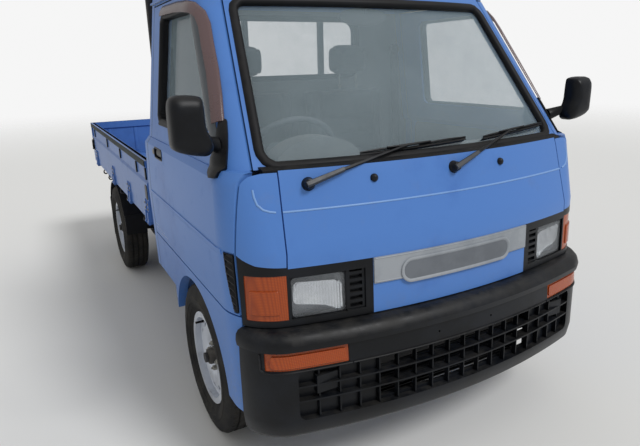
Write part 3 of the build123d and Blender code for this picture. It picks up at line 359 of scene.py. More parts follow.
BLUE = (80, 125, 194), (66, 108, 178)
FINISHES: dict[str, Paint | Plain | Rusty | Pane | Lens] = {
    "paint": Paint("truck_blue", *BLUE),
    # Lighter blue of the crease bead: partly wear, partly a painted highlight along the bead.
    "worn_edge": Paint("worn_edge", (122, 160, 212), (94, 136, 202)),
    "rear_paint": Paint("blue_rear_wall", *BLUE, lined=(0.0, -1.0, 0.0)),
    "roof_paint": Paint("blue_roof", *BLUE, lining=(150, 156, 156), lined=(0.0, 0.3, -1.0)),
    "frame_paint": Paint("blue_screen_frame", *BLUE, lined=(0.0, 1.0, 0.0)),
    "bed_paint": Paint("bed_blue", (78, 118, 184), (64, 102, 164), 0.95, 0.3, 0.4),
    "black": Plain("weathered_black_plastic", (10, 12, 16), (19, 22, 28), 0.36, 0.06, gloss=0.24),
    "grey": Plain("silver_grey_trim", (150, 155, 161), (134, 140, 147), 0.34, 0.05, 0.0001),
    "rubber": Plain("seal_rubber", (15, 16, 19), (21, 22, 26), 0.5, 0.05, gloss=0.2),
    "tyre": Plain("tyre_rubber", (32, 32, 33), (52, 50, 47), 0.82, 0.3, 0.0005, gloss=0.2),
    "cabin": Plain("cabin_plastic", (116, 122, 124), (104, 110, 112), 0.6),
    "cabin_dark": Plain("dark_cabin_plastic", (84, 91, 99), (74, 81, 89), 0.55),
    "cloth": Plain("seat_cloth", (88, 94, 100), (76, 82, 88), 0.9, 0.25, 0.0004, grain=1400.0,
                   pattern=Pattern.WEAVE),
    "chassis": Rusty("chassis_black", (34, 34, 36), 0.62),
    "engine": Rusty("engine_iron", (74, 74, 76), 0.6, 0.5),
    "exhaust": Rusty("exhaust_steel", (98, 92, 86), 0.45, 0.7),
    "rim": Rusty("rim_silver", (208, 213, 222), 0.72, 0.5, 0.36),
    "bolt": Rusty("plated_bolt", (150, 148, 140), 0.66, 0.8, 0.4),
    # The windows' pale blue-grey, stronger at a slant, is painted reflection of the sky.
    "glass": Pane("window_glass", (158, 176, 184), 0.15, 0.5),
    "lamp_glass": Pane("headlamp_glass", (216, 222, 228), 0.03, 0.22, 520.0),
    # Dark grey behind and in the middle of the headlamps: painted shade.
    "lamp_edge": Plain("lamp_edge", (108, 112, 118), (84, 88, 94), 0.3, 0.0, metallic=0.6),
    "tinted": Plain("tinted_glass", (70, 77, 83), (64, 71, 77), 0.12, 0.0, 0.0),
    "visor": Pane("smoked_visor", (104, 84, 84), 0.78, 0.8, 0.0, 0.2, 0.5),
    "reflector": Plain("lamp_reflector", (214, 218, 222), (196, 200, 206), 0.12, 0.0, 0.0016, 1.0, grain=380.0,
                       pattern=Pattern.RIBS),
    "amber": Lens("amber_lens", (170, 74, 14), (138, 54, 8)),
    "red": Lens("red_lens", (190, 26, 22), (120, 10, 10)),
    "white_lens": Lens("white_lens", (226, 226, 220), (180, 182, 178)),
    "mirror": Plain("mirror_glass", (150, 158, 166), (140, 148, 156), 0.05, 0.0, 0.0, 1.0),
    "grey_dark": Plain("garnish_field", (104, 109, 116), (92, 97, 104), 0.5, 0.1, 0.0002),
    "cap_black": Plain("hub_cap_black", (38, 38, 40), (54, 50, 46), 0.55, 0.3),
    "rail_rubber": Plain("rail_rubber", (46, 54, 52), (36, 43, 42), 0.75, 0.3, 0.0004),
    "bare_mark": Plain("scratched_primer", (206, 212, 220), (180, 188, 200), 0.6, 0.1),
    # Pale streaks along the doors' lower edge: painted highlights where the edge catches light.
    "arm_grey": Plain("arm_grey", (52, 55, 60), (42, 45, 50), 0.42, 0.05),
    "dial": Plain("dial_face", (24, 25, 27), (32, 33, 35), 0.25, 0.0),
}
# The record's slots, each with the looks that belong to it, the one for its CAD nodes first.
SLOT_LOOKS = {
    "body_paint": "paint worn_edge rear_paint roof_paint frame_paint bed_paint bare_mark",
    "chassis_black": "chassis", "engine_metal": "engine", "tyre_rubber": "tyre", "rim_steel": "rim cap_black",
    "black_plastic": "black arm_grey visor", "garnish_grey": "grey grey_dark", "clear_glass": "glass tinted mirror",
    "lamp_glass": "lamp_glass lamp_edge reflector white_lens", "amber_plastic": "amber", "red_plastic": "red",
    "cabin_plastic": "cabin cabin_dark dial", "seat_cloth": "cloth", "rubber": "rubber rail_rubber",
    "exhaust_steel": "exhaust"}
SLOT_OF = {look: slot for slot, looks in SLOT_LOOKS.items() for look in looks.split()}
MADE: dict[str, bpy.types.Material] = {}


def finish(look: str) -> bpy.types.Material:
    """The material of a named finish, built on first use."""
    if look not in MADE:
        MADE[look] = FINISHES[look].build()
    return MADE[look]


def fit(name: str, look: str, *meshes: Mesh, body: str = "truck", slot: str = "", smooth: float = 35.0,
        node: str = "") -> bpy.types.Object:
    """Makes a piece, gives it its finish and lets it ride on a body.

    Args:
        name: the piece's name.
        look: the finish's key.
        meshes: its meshes, already in place.
        body: the body that carries it.
        slot: the record's material slot, where it isn't the look's own. Not used.
        smooth: largest angle in degrees that is shaded smooth where meshes are joined.
        node: the CAD node that it stands for.

    Returns:
        The new object.
    """
    mesh = meshes[0] if len(meshes) == 1 else join(meshes, smooth)
    mesh.name = name
    made = hold(mesh, name)
    if not mesh.materials:
        mesh.materials.append(finish(look))
    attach(made, body)
    if node:
        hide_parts(node)
    LOG.info("piece %s on %s", name, body)
    return made


def fit_pair(name: str, look: str, *meshes: Mesh, body: str, smooth: float = 35.0, node: str = "",
             slot: str = "") -> None:
    """Makes a piece of the right side and its mirror image on the left.

    Args:
        name: the pieces' name without the side.
        look: the finish's key.
        meshes: the right piece's meshes, already in place.
        body: the body, with {} for the side.
        smooth: largest angle in degrees that is shaded smooth where meshes are joined.
        node: the CAD node that it stands for, with {} for the side.
        slot: the record's material slot, where it isn't the look's own.
    """
    whole = meshes[0] if len(meshes) == 1 else join(meshes, smooth)
    for word, mesh in (("right", whole), ("left", mirrored(whole))):
        fit(f"{name}_{word}", look, mesh, body=body.format(word), slot=slot, node=node.format(word))


fit_doors = partial(fit_pair, body="door_{}_body")
fit_gates = partial(fit_pair, body="side_gate_{}_body")
fit_tailgate = partial(fit, body="tailgate_body")


def hold(mesh: Mesh, name: str = "work") -> bpy.types.Object:
    """New object in the scene that holds a mesh."""
    made = bpy.data.objects.new(name, mesh)
    bpy.context.scene.collection.objects.link(made)
    return made


def settled(holder: bpy.types.Object) -> Mesh:
    """The holder's mesh with its modifiers applied."""
    graph = bpy.context.evaluated_depsgraph_get()
    graph.update()
    return bpy.data.meshes.new_from_object(holder.evaluated_get(graph))


def used_up(holder: bpy.types.Object, smooth: float) -> Mesh:
    """As settled, with the holder removed and the mesh shaded smooth below an angle."""
    result = settled(holder)
    bpy.data.objects.remove(holder)
    tidy(result, smooth, outwards=False)
    return result


def mesh_of(corners: Iterable[Sequence[float]], faces: Iterable[Sequence[int]], smooth: float = 35.0) -> Mesh:
    """Mesh from corners in metres and faces, doubles merged, faces outwards, shaded smooth below an angle."""
    mesh = bpy.data.meshes.new("part")
    mesh.from_pydata([tuple(c) for c in corners], [], [tuple(f) for f in faces])
    tidy(mesh, smooth)
    return mesh


def tidy(mesh: Mesh, smooth: float, merge: float = 1e-6, outwards: bool = True) -> None:
    """Merges doubles, turns faces outwards and shades smooth below an angle."""
    work = bmesh.new()
    work.from_mesh(mesh)
    bmesh.ops.remove_doubles(work, verts=work.verts, dist=merge)
    if outwards:
        bmesh.ops.recalc_face_normals(work, faces=work.faces)
    limit = math.radians(smooth)
    for edge in work.edges:
        edge.smooth = len(edge.link_faces) == 2 and edge.calc_face_angle(math.pi) < limit
    for face in work.faces:
        face.smooth = True
    work.to_mesh(mesh)
    work.free()
    mesh.update()


def join(meshes: Iterable[Mesh], smooth: float = 35.0) -> Mesh:
    """One mesh from several, each kept as it is."""
    work = bmesh.new()
    for part in meshes:
        work.from_mesh(part)
    mesh = bpy.data.meshes.new("joined")
    work.to_mesh(mesh)
    work.free()
    tidy(mesh, smooth, outwards=False)
    return mesh


def mirrored(mesh: Mesh) -> Mesh:
    """Mirror image of a mesh on the other side of the truck."""
    other = mesh.copy()
    other.transform(Matrix.Scale(-1.0, 4, ACROSS))
    other.flip_normals()
    return other


def both(*meshes: Mesh, smooth: float = 35.0) -> Mesh:
    """The meshes and their mirror images, as one mesh."""
    whole = join(meshes, smooth)
    return join((whole, mirrored(whole)), smooth)


def moved(mesh: Mesh, shift: Vector) -> Mesh:
    """Copy of a mesh, shifted."""
    other = mesh.copy()
    other.transform(Matrix.Translation(shift))
    return other


def block(low: Vector, high: Vector, bevel: float) -> Mesh:
    """Block between two corners in metres, its edges rounded by a bevel."""
    work = bmesh.new()
    bmesh.ops.create_cube(work, size=1.0)
    for vert in work.verts:
        vert.co = [low[axis] if vert.co[axis] < 0 else high[axis] for axis in range(3)]
    bmesh.ops.recalc_face_normals(work, faces=work.faces)
    holder = hold(bpy.data.meshes.new("block"))
    work.to_mesh(holder.data)
    work.free()
    edge = holder.modifiers.new("edge", "BEVEL")
    edge.width, edge.segments, edge.angle_limit = bevel, 2, math.radians(35.0)
    return used_up(holder, 40.0)


def skin_over(rings: Sequence[Sequence[Vector]], smooth: float = 40.0, closed: bool = False,
              wrapped: bool = True) -> Mesh:
    """Surface through rings of as many points each.

    Args:
        rings: the rings' points in metres.
        smooth: largest angle in degrees that is shaded smooth.
        closed: whether the last ring joins the first. Otherwise both ends are capped.
        wrapped: whether each ring's last point joins its first.

    Returns:
        The mesh.
    """
    count, size = len(rings), len(rings[0])
    faces: list[Sequence[int]] = []
    for ring in range(count if closed else count - 1):
        here, there = ring * size, (ring + 1) % count * size
        for step in range(size if wrapped else size - 1):
            turn = (step + 1) % size
            faces.append((here + step, there + step, there + turn, here + turn))
    if not closed:
        faces += [range(size), range((count - 1) * size, count * size)]
    return mesh_of([point for ring in rings for point in ring], faces, smooth)


def lofted(sections: Sequence[Sequence[Vector]], levels: int = 0, smooth: float = 40.0) -> Mesh:
    """Closed form through sections of as many points each, rounded by subdivision levels if asked."""
    mesh = skin_over(sections, smooth)
    if not levels:
        return mesh
    holder = hold(mesh)
    rounding = holder.modifiers.new("round", "SUBSURF")
    rounding.levels = rounding.render_levels = levels
    return used_up(holder, 60.0)


def turned(profile: Flat, centre: Vector, axis: Vector, steps: int = 48, smooth: float = 35.0,
           capped: bool = True) -> Mesh:
    """Solid or shell of revolution.

    Args:
        profile: (along, radius) pairs in millimetres, in order.
        centre: the point on the axis where along is 0.
        axis: direction of the axis.
        steps: divisions round the axis.
        smooth: largest angle in degrees that is shaded smooth.
        capped: whether both ends are closed by flat faces.

    Returns:
        The mesh.
    """
    if capped:
        profile = [(profile[0][0], 0.0), *profile, (profile[-1][0], 0.0)]
    axis = axis.normalized()
    side = axis.orthogonal().normalized()
    outs = circle(Vector(), side, axis.cross(side), steps)
    rings = [[centre + (axis * along + out * radius) * MM for along, radius in profile] for out in outs]
    return skin_over(rings, smooth, closed=True, wrapped=False)


def circle(centre: Vector, first: Vector, second: Vector, steps: int) -> list[Vector]:
    """Points round an ellipse given by its middle and two half axes."""
    return arc(centre, first, second, 0.0, 360.0, steps)[:-1]


def arc(centre: Vector, first: Vector, second: Vector, start: float, end: float, steps: int) -> list[Vector]:
    """Points of an ellipse's arc from two half axes, between two angles in degrees."""
    angles = (math.radians(start + (end - start) * step / steps) for step in range(steps + 1))
    return [centre + first * math.cos(a) + second * math.sin(a) for a in angles]


def rod(points: Sequence[Vector], radii: Sequence[float], steps: int = 12) -> Mesh:
    """Round bar through points, with a radius in millimetres at each."""
    rings = []
    for index, (point, radius) in enumerate(zip(points, radii)):
        ahead = (points[min(index + 1, len(points) - 1)] - points[max(index - 1, 0)]).normalized()
        side = ahead.cross(Vector((0.31, 0.11, 0.94))).normalized() * radius * MM
        rings.append(circle(point, side, side.cross(ahead), steps))
    return lofted(rings)


def swept(path: Sequence[Vector], normals: Sequence[Vector], profile: Flat, closed: bool = False,
          smooth: float = 50.0) -> Mesh:
    """Profile drawn along a path that lies on a surface, capped at its ends when the path is open.

    Args:
        path: points in metres.
        normals: the surface's outward normal at each point.
        profile: (across, out) pairs in millimetres, in order round the section.
        closed: whether the path ends where it starts.
        smooth: largest angle in degrees that is shaded smooth.

    Returns:
        The mesh.
    """
    count = len(path)
    rings = []
    for index, (point, normal) in enumerate(zip(path, normals)):
        before = path[index - 1] if closed or index else point
        after = path[(index + 1) % count] if closed or index < count - 1 else point
        along = (after - before).normalized()
        across = along.cross(normal).normalized()
        out = across.cross(along).normalized()
        rings.append([point + (across * u + out * v) * MM for u, v in profile])
    return skin_over(rings, smooth, closed)


def oval(width: float, height: float, sink: float = 1.0, steps: int = 6) -> list[tuple[float, float]]:
    """Half-round section: flat at the bottom, width across and height out, sunk a little."""
    dome = arc(Vector(), Vector((width / 2, 0, 0)), Vector((0, height, 0)), 0.0, 180.0, steps)
    return [(-width / 2, -sink), (width / 2, -sink)] + [(p.x, p.y) for p in dome]


def pillow(height: float) -> Callable[[float, float], float]:
    """Relief that rises to a height in the middle of a plate."""
    return lambda u, v: height * math.sin(math.pi * u) * math.sin(math.pi * v)


@dataclass
class Repeat:
    """Geometry Nodes tree that repeats a piece's own mesh in a row or a ring."""

    name: str
    ring: bool = False
    tree: bpy.types.GeometryNodeTree = field(init=False)

    def __post_init__(self) -> None:
        """Builds the tree with named inputs: count, step or turn, and the finish."""
        tree = self.tree = bpy.data.node_groups.new(self.name, "GeometryNodeTree")
        for name, kind in (("Geometry", "Geometry"), ("Count", "Int"), ("Step", "Vector"), ("Finish", "Material")):
            tree.interface.new_socket(name, in_out="INPUT", socket_type="NodeSocket" + kind)
        tree.interface.new_socket("Geometry", in_out="OUTPUT", socket_type="NodeSocketGeometry")
        start, end, line, spread, real, paint = (tree.nodes.new(kind) for kind in (
            "NodeGroupInput", "NodeGroupOutput", "GeometryNodeMeshLine", "GeometryNodeInstanceOnPoints",
            "GeometryNodeRealizeInstances", "GeometryNodeSetMaterial"))
        line.mode = "OFFSET"
        pairs = [(start.outputs["Count"], line.inputs["Count"]), (line.outputs["Mesh"], spread.inputs["Points"]),
                 (start.outputs["Geometry"], spread.inputs["Instance"]), (spread.outputs[0], real.inputs[0]),
                 (real.outputs[0], paint.inputs["Geometry"]), (start.outputs["Finish"], paint.inputs["Material"]),
                 (paint.outputs[0], end.inputs[0])]
        if self.ring:
            line.inputs["Offset"].default_value = (0.0, 0.0, 0.0)
            turn = tree.nodes.new("ShaderNodeVectorMath")
            turn.operation = "SCALE"
            index = tree.nodes.new("GeometryNodeInputIndex")
            pairs += [(start.outputs["Step"], turn.inputs[0]), (index.outputs[0], turn.inputs["Scale"]),
                      (turn.outputs[0], spread.inputs["Rotation"])]
        else:
            pairs.append((start.outputs["Step"], line.inputs["Offset"]))
        for source, target in pairs:
            tree.links.new(source, target)

    def run(self, mesh: Mesh, count: int, step: Sequence[float], look: str, centre: Vector = Vector()) -> Mesh:
        """Repeats a mesh.

        Args:
            mesh: what is repeated.
            count: how many.
            step: offset in metres from one to the next, or for a ring the turn in radians.
            look: the finish's key.
            centre: the ring's middle.

        Returns:
            The repeated mesh with its finish.
        """
        holder = hold(moved(mesh, -centre))
        modifier = holder.modifiers.new("repeat", "NODES")
        modifier.node_group = self.tree
        values = {"Count": count, "Step": tuple(step), "Finish": finish(look)}
        for item in self.tree.interface.items_tree:
            if item.in_out == "INPUT" and item.name in values:
                modifier[item.identifier] = values[item.name]
        holder.update_tag()
        result = settled(holder)
        bpy.data.objects.remove(holder)
        result.transform(Matrix.Translation(centre))
        return result


@dataclass(frozen=True)
class Skin:
    """Cab or bumper surface: rows of height, nose, end of the front bow and half width, in millimetres."""

    rows: tuple[Sizes, ...]
    bow: float = 2400.0

    def corner(self, z: float) -> tuple[float, float, float, float, float, float]:
        """Section at a height.

        Args:
            z: the height.

        Returns:
            Nose, end of the bow, half width, corner radius, where the straight side starts and the corner's middle.
        """
        low, high = next(((a, b) for a, b in zip(self.rows, self.rows[1:]) if z <= b[0]), self.rows[-2:])
        share = (z - low[0]) / (high[0] - low[0])
        nose, end, half = (a + (b - a) * share for a, b in zip(low[1:], high[1:]))
        slope = math.asin(end / self.bow)
        start = nose + self.bow - math.sqrt(self.bow**2 - end**2)
        radius = (half - end) / (1 - math.sin(slope))
        return nose, end, half, radius, start + radius * math.cos(slope), half - radius

    def front(self, x: float, z: float) -> float:
        """How far behind the bumper the surface lies at a place across."""
        nose, end, _, radius, side, middle = self.corner(z)
        if abs(x) <= end:
            return nose + self.bow - math.sqrt(self.bow**2 - x * x)
        return side - math.sqrt(max(radius**2 - (abs(x) - middle) ** 2, 0.0))

    def flank(self, behind: float, z: float) -> float:
        """Half width of the surface at a place behind the bumper."""
        nose, end, half, radius, side, middle = self.corner(z)
        if behind >= side:
            return half
        reach = middle + math.sqrt(max(radius**2 - (side - behind) ** 2, 0.0))
        return reach if reach > end else math.sqrt(max(self.bow**2 - (nose + self.bow - behind) ** 2, 0.0))

    def face(self, out: float = 0.0) -> Place:
        """Place on the front, from x and z, lifted by out millimetres."""
        return lifted(lambda x, z: at(x, self.front(x, z), z), out)

    def wall(self, out: float = 0.0) -> Place:
        """Place on the right side, from the distance behind and z, lifted by out millimetres."""
        return lifted(lambda behind, z: at(-self.flank(behind, z), behind, z), out, -1.0)


def lifted(point: Callable[[float, float], Vector], out: float, turn: float = 1.0) -> Place:
    """Place on a surface.

    Args:
        point: gives the surface's point from two distances in millimetres.
        out: how far the place is lifted off it.
        turn: -1 where the two distances run the other way round.

    Returns:
        The place.
    """
    def spot(u: float, v: float) -> Spot:
        across = point(u + 0.5, v) - point(u - 0.5, v)
        normal = across.cross(point(u, v + 0.5) - point(u, v - 0.5)).normalized() * turn
        return point(u, v) + normal * out * MM, normal
    return spot


# The cab's outside below the belt line and above it, and the bumper's.
LOWER = Skin(((296, 40, 556, 680), (785, 62, 560, 690), (983, 118, 598, 684), (1005, 126, 600, 668)))
UPPER = Skin(((1005, 154, 592, 664), (1500, 540, 528, 600)))
BUMPER = Skin(((244, 28, 560, 668), (262, 12, 560, 676), (306, 4, 560, 680), (466, 9, 562, 682), (522, 14, 562, 682),
               (527, 3, 563, 687), (545, 0, 564, 689), (563, 8, 565, 688), (573, 22, 566, 684), (578, 36, 566, 676)))


def plane(origin: Vector, across: Vector, upward: Vector) -> Place:
    """Place on a flat plane, from two distances in millimetres."""
    normal = across.cross(upward).normalized()
    return lambda u, v: (origin + (across * u + upward * v) * MM, normal)


def ahead_of(behind: float) -> Place:
    """Upright plane across the truck that faces the front, from x and z."""
    return lambda x, z: (at(x, behind, z), -BACK)


def back_of(behind: float) -> Place:
    """Upright plane across the truck that faces the rear, from x and z."""
    return lambda x, z: (at(x, behind, z), BACK)


def right_side(x: float, normal: Vector = RIGHT_OUT) -> Place:
    """Upright plane along the truck's right side, from the distance behind and z."""
    return lambda behind, z: (at(-x, behind, z), normal)


def level(z: float) -> Place:
    """Level plane, from x and the distance behind, facing up."""
    return lambda x, behind: (at(x, behind, z), UP)


def rounded(corners: Flat, radius: float, spacing: float = 12.0) -> list[tuple[float, float]]:
    """Closed outline with its corners rounded and its sides divided.

    Args:
        corners: the outline's corners, in order.
        radius: corner radius in millimetres.
        spacing: largest distance between points.

    Returns:
        The points, in order.
    """
    points = [Vector(c) for c in corners]
    arcs: list[list[Vector]] = []
    for index, corner in enumerate(points):
        back = (points[index - 1] - corner).normalized()
        ahead = (points[(index + 1) % len(points)] - corner).normalized()
        half = back.angle(ahead) / 2
        centre = corner + (back + ahead).normalized() * radius / math.sin(half)
        start, end = (corner + way * radius / math.tan(half) - centre for way in (back, ahead))
        steps = max(int(radius * (math.pi - 2 * half) / max(spacing * 0.5, 1.5)), 3)
        arcs.append([centre + start.lerp(end, step / steps).normalized() * radius for step in range(steps + 1)])
    made: list[tuple[float, float]] = []
    for index, points in enumerate(arcs):
        end, stop = points[-1], arcs[(index + 1) % len(arcs)][0]
        count = int((stop - end).length / spacing)
        made += [tuple(p) for p in points] + [tuple(end.lerp(stop, step / count)) for step in range(1, count)]
    return made


def frame_of(left: float, low: float, right: float, high: float, radius: float,
             spacing: float = 12.0) -> list[tuple[float, float]]:
    """Rectangle with rounded corners, its sides divided."""
    return rounded([(left, low), (right, low), (right, high), (left, high)], radius, spacing)


def line_through(points: Flat, spacing: float = 15.0) -> list[tuple[float, float]]:
    """Open line through points, divided evenly between them."""
    made = []
    for first, second in zip(points, points[1:]):
        first, second = Vector(first), Vector(second)
        count = max(int((second - first).length / spacing), 1)
        made += [tuple(first.lerp(second, step / count)) for step in range(count)]
    return made + [tuple(points[-1])]


def strip(place: Place, line: Flat, profile: Flat, inward: tuple[float, float] | None = None, closed: bool = False,
          smooth: float = 50.0) -> Mesh:
    """Profile in millimetres drawn along a line on a surface.

    Args:
        place: the surface.
        line: points on it.
        profile: (across, out) pairs.
        inward: a point of the surface that positive across faces.
        closed: whether the line is a ring.
        smooth: largest angle in degrees that is shaded smooth.

    Returns:
        The mesh.
    """
    spots = [place(u, v) for u, v in line]
    if inward is not None:
        middle = len(spots) // 2
        along = spots[(middle + 1) % len(spots)][0] - spots[middle - 1][0]
        if along.cross(spots[middle][1]).dot(place(*inward)[0] - spots[middle][0]) < 0:
            spots.reverse()
    return swept([s[0] for s in spots], [s[1] for s in spots], profile, closed, smooth)


def ring_strip(place: Place, ring: Flat, profile: Flat) -> Mesh:
    """Profile drawn round a ring on a surface, positive across towards the ring's middle."""
    middle = tuple((min(p[k] for p in ring) + max(p[k] for p in ring)) / 2 for k in (0, 1))
    return strip(place, ring, profile, middle, True)


def spans(outline: Flat, v: float) -> tuple[float, float]:
    """Lowest and highest u of a closed outline at a height v."""
    found = [u0 + (u1 - u0) * (v - v0) / (v1 - v0) for (u0, v0), (u1, v1) in zip(outline, [*outline[1:], outline[0]])
             if (v0 - v) * (v1 - v) <= 0 and v0 != v1]
    return min(found), max(found)


def plate(place: Place, outline: Flat, out: float, thick: float, rows: int = 8, columns: int = 10,
          relief: Callable[[float, float], float] = lambda u, v: 0.0, smooth: float = 35.0) -> Mesh:
    """Plate that follows a surface inside a convex outline.

    Args:
        place: the surface.
        outline: closed outline in millimetres.
        out: how far its outer face stands off the surface.
        thick: its thickness.
        rows: divisions from its foot to its top.
        columns: divisions across.
        relief: extra height in millimetres from the shares across and up.
        smooth: largest angle in degrees that is shaded smooth.

    Returns:
        The mesh.
    """
    low, high = min(v for _, v in outline), max(v for _, v in outline)
    top: list[Vector] = []
    foot: list[Vector] = []
    for row in range(rows + 1):
        ease = 0.5 - 0.5 * math.cos(math.pi * row / rows)
        v = low + (high - low) * min(max(ease, 0.002), 0.998)
        left, right = spans(outline, v)
        for column in range(columns + 1):
            share = column / columns
            point, normal = place(left + (right - left) * share, v)
            top.append(point + normal * (out + relief(share, row / rows)) * MM)
            foot.append(point + normal * (out - thick) * MM)
    across, size = columns + 1, len(top)
    faces: list[Sequence[int]] = []
    for first in (row * across + column for row in range(rows) for column in range(columns)):
        quad = (first, first + 1, first + across + 1, first + across)
        faces += [quad, tuple(size + index for index in reversed(quad))]
    rim = [*range(across), *range(across + columns, size, across), *range(size - 2, size - across - 1, -1),
           *range(size - 2 * across, 0, -across)]
    for corner, following in zip(rim, rim[1:] + rim[:1]):
        faces.append((corner, size + corner, size + following, following))
    return mesh_of(top + foot, faces, smooth)


def bolts(places: Iterable[Spot], radius: float) -> Mesh:
    """Hexagon bolt heads on washers, each at a point and facing a direction."""
    made = []
    for seat, normal in places:
        washer = [(-0.5, radius * 1.35), (radius * 0.22, radius * 1.3)]
        head = [(0, radius), (radius * 0.75, radius), (radius * 0.95, radius * 0.85)]
        made += [turned(washer, seat, normal, 18, 40), turned(head, seat, normal, 6, 20)]
    return join(made, 25)


@dataclass(frozen=True)
class Studio:
    """Camera at the photograph's place, pale floor, soft light from the right and above."""

    eye: Point = (-1.1056, -2.7657, 1.2766)
    yaw: float = 0.4883
    pitch: float = 0.2871
    roll: float = -0.0236
    lens: float = 30.43
    floor_rings: Flat = ((0, 0), (0, 3000), (0, 9000), (0, 30000))
    floor_tone: Point = (226, 226, 224)
    sky: float = 0.53
    backdrop: float = 0.92
    sun: float = 1.62

    def build(self) -> None:
        """Sets the camera, lays the floor and lights the scene."""
        bpy.context.scene.view_settings.view_transform = "Standard"
        self.camera()
        self.floor()
        self.light()

    def camera(self) -> None:
        """Sets the camera."""
        level_ahead = Vector((math.sin(self.yaw), math.cos(self.yaw), 0.0))
        ahead = level_ahead * math.cos(self.pitch) - UP * math.sin(self.pitch)
        aside = Vector((math.cos(self.yaw), -math.sin(self.yaw), 0.0))
        upright = aside.cross(ahead)
        right = aside * math.cos(self.roll) + upright * math.sin(self.roll)
        above = upright * math.cos(self.roll) - aside * math.sin(self.roll)
        data = bpy.data.cameras.new("view")
        data.lens, data.sensor_width, data.clip_end = self.lens, 36.0, 200.0
        camera = bpy.data.objects.new("view", data)
        camera.matrix_world = Matrix.Translation(self.eye) @ Matrix((right, above, -ahead)).transposed().to_4x4()
        bpy.context.scene.collection.objects.link(camera)
        bpy.context.scene.camera = camera

    def floor(self) -> None:
        """Lays a round floor that fades out towards its rim."""
        mesh = turned(self.floor_rings, Vector(), UP, steps=64, capped=False)
        tree = Tree("studio_floor")
        x, y, _ = tree.split(tree.coords)
        reach = tree.math("SQRT", tree.plus(tree.times(x, x), tree.times(y, y)))
        mesh.materials.append(tree.close(Base_Color=rgba(self.floor_tone), Roughness=0.9,
                                         Alpha=tree.ramp(reach, 5.0, 16.0, 1.0, 0.0)))
        hold(mesh, "floor")

    def light(self) -> None:
        """Sets the sky, which shows pale to the camera and through glass, and one soft sun."""
        world = bpy.context.scene.world = bpy.data.worlds.new("sky")
        world.use_nodes = True
        nodes, links = world.node_tree.nodes, world.node_tree.links
        nodes.clear()
        path, seen, strength, glow, output = (nodes.new("ShaderNode" + kind) for kind in (
            "LightPath", "Math", "MapRange", "Background", "OutputWorld"))
        seen.operation = "MAXIMUM"
        strength.inputs[3].default_value, strength.inputs[4].default_value = self.sky, self.backdrop
        glow.inputs["Color"].default_value = (1.0, 1.0, 1.0, 1.0)
        for source, target in ((path.outputs["Is Camera Ray"], seen.inputs[0]),
                               (path.outputs["Is Transmission Ray"], seen.inputs[1]),
                               (seen.outputs[0], strength.inputs[0]),
                               (strength.outputs[0], glow.inputs["Strength"]),
                               (glow.outputs[0], output.inputs["Surface"])):
            links.new(source, target)
        data = bpy.data.lights.new("sun", "SUN")
        data.energy, data.angle = self.sun, math.radians(18.0)
        sun = bpy.data.objects.new("sun", data)
        sun.rotation_euler = (math.radians(42.0), 0.0, math.radians(24.0))
        bpy.context.scene.collection.objects.link(sun)


@dataclass
class Shell:
    """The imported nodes, each copied, welded, shaded and given its finish, apart from those made by hand."""

    frame: dict
    by_hand: str = ("headlamps mirror_right mirror_left seat_cushions seat_backs headrests steering_wheel wipers "
                    "tyre_front_right tyre_front_left tyre_rear_right tyre_rear_left")
    looks: dict[str, str] = field(default_factory=lambda: {
        "bed_floor": "bed_paint", "bed_headboard": "bed_paint", "side_gate_right": "bed_paint",
        "side_gate_left": "bed_paint", "tailgate": "bed_paint", "cab_rear": "rear_paint", "cab_roof": "roof_paint",
        "windscreen_frame": "frame_paint"})
    crease: float = 32.0

    def build(self) -> None:
        """Replaces every node that no other class makes by a welded copy with its finish."""
        slots = {part["node"]: part["material_slot"] for part in self.frame["record"]["subparts"]}
        for node, source in self.frame["nodes"].items():
            if node in self.by_hand.split():
                continue
            mesh = source.data.copy()
            mesh.materials.clear()
            tidy(mesh, self.crease, merge=2e-6, outwards=False)
            look = self.looks.get(node, SLOT_LOOKS[slots[node]].split()[0])
            fit(f"{node}_skin", look, mesh, body=source["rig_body"], slot=slots[node], node=node)


# Section of the windows' rubber seals: positive across lies over the glass, positive out stands off it.
SEAL = ((-15.0, -1.0), (-13.0, 4.0), (-6.0, 7.0), (5.0, 7.0), (12.0, 3.5), (14.0, -3.0), (14.0, -12.0), (2.0, -12.0),
        (1.0, -1.0))


@dataclass
class Screens:
    """Rubber seals of the windscreen and the rear window, and the rubber in the joint below the screen."""

    screen: Flat = ((-564, 1012), (564, 1012), (497, 1469), (-497, 1469))
    rear: Sizes = (-353, 1213, 353, 1473)
    outer_wall: float = 1240.0
    inner_wall: float = 1204.0

    def build(self) -> None:
        """Makes the seals."""
        fit("windscreen_seal", "rubber", ring_strip(UPPER.face(), rounded(self.screen, 38, 30), SEAL))
        cowl = []
        for x in range(-575, 576, 25):
            front, foot = LOWER.front(x, 1003), UPPER.front(x, 1006)
            cowl.append([at(x, d, z) for d, z in ((front + 2, 1000), (front + 2, 1006), (front + 9, 1008.5),
                                                  (foot - 2, 1013), (foot + 6, 1012), (foot + 4, 1000))])
        fit("cowl_rubber", "rubber", lofted(cowl))
        ring = frame_of(*self.rear, 60, 30)
        fit("rear_window_seal", "rubber", ring_strip(back_of(self.outer_wall), ring, SEAL),
            ring_strip(ahead_of(self.inner_wall), ring, SEAL))


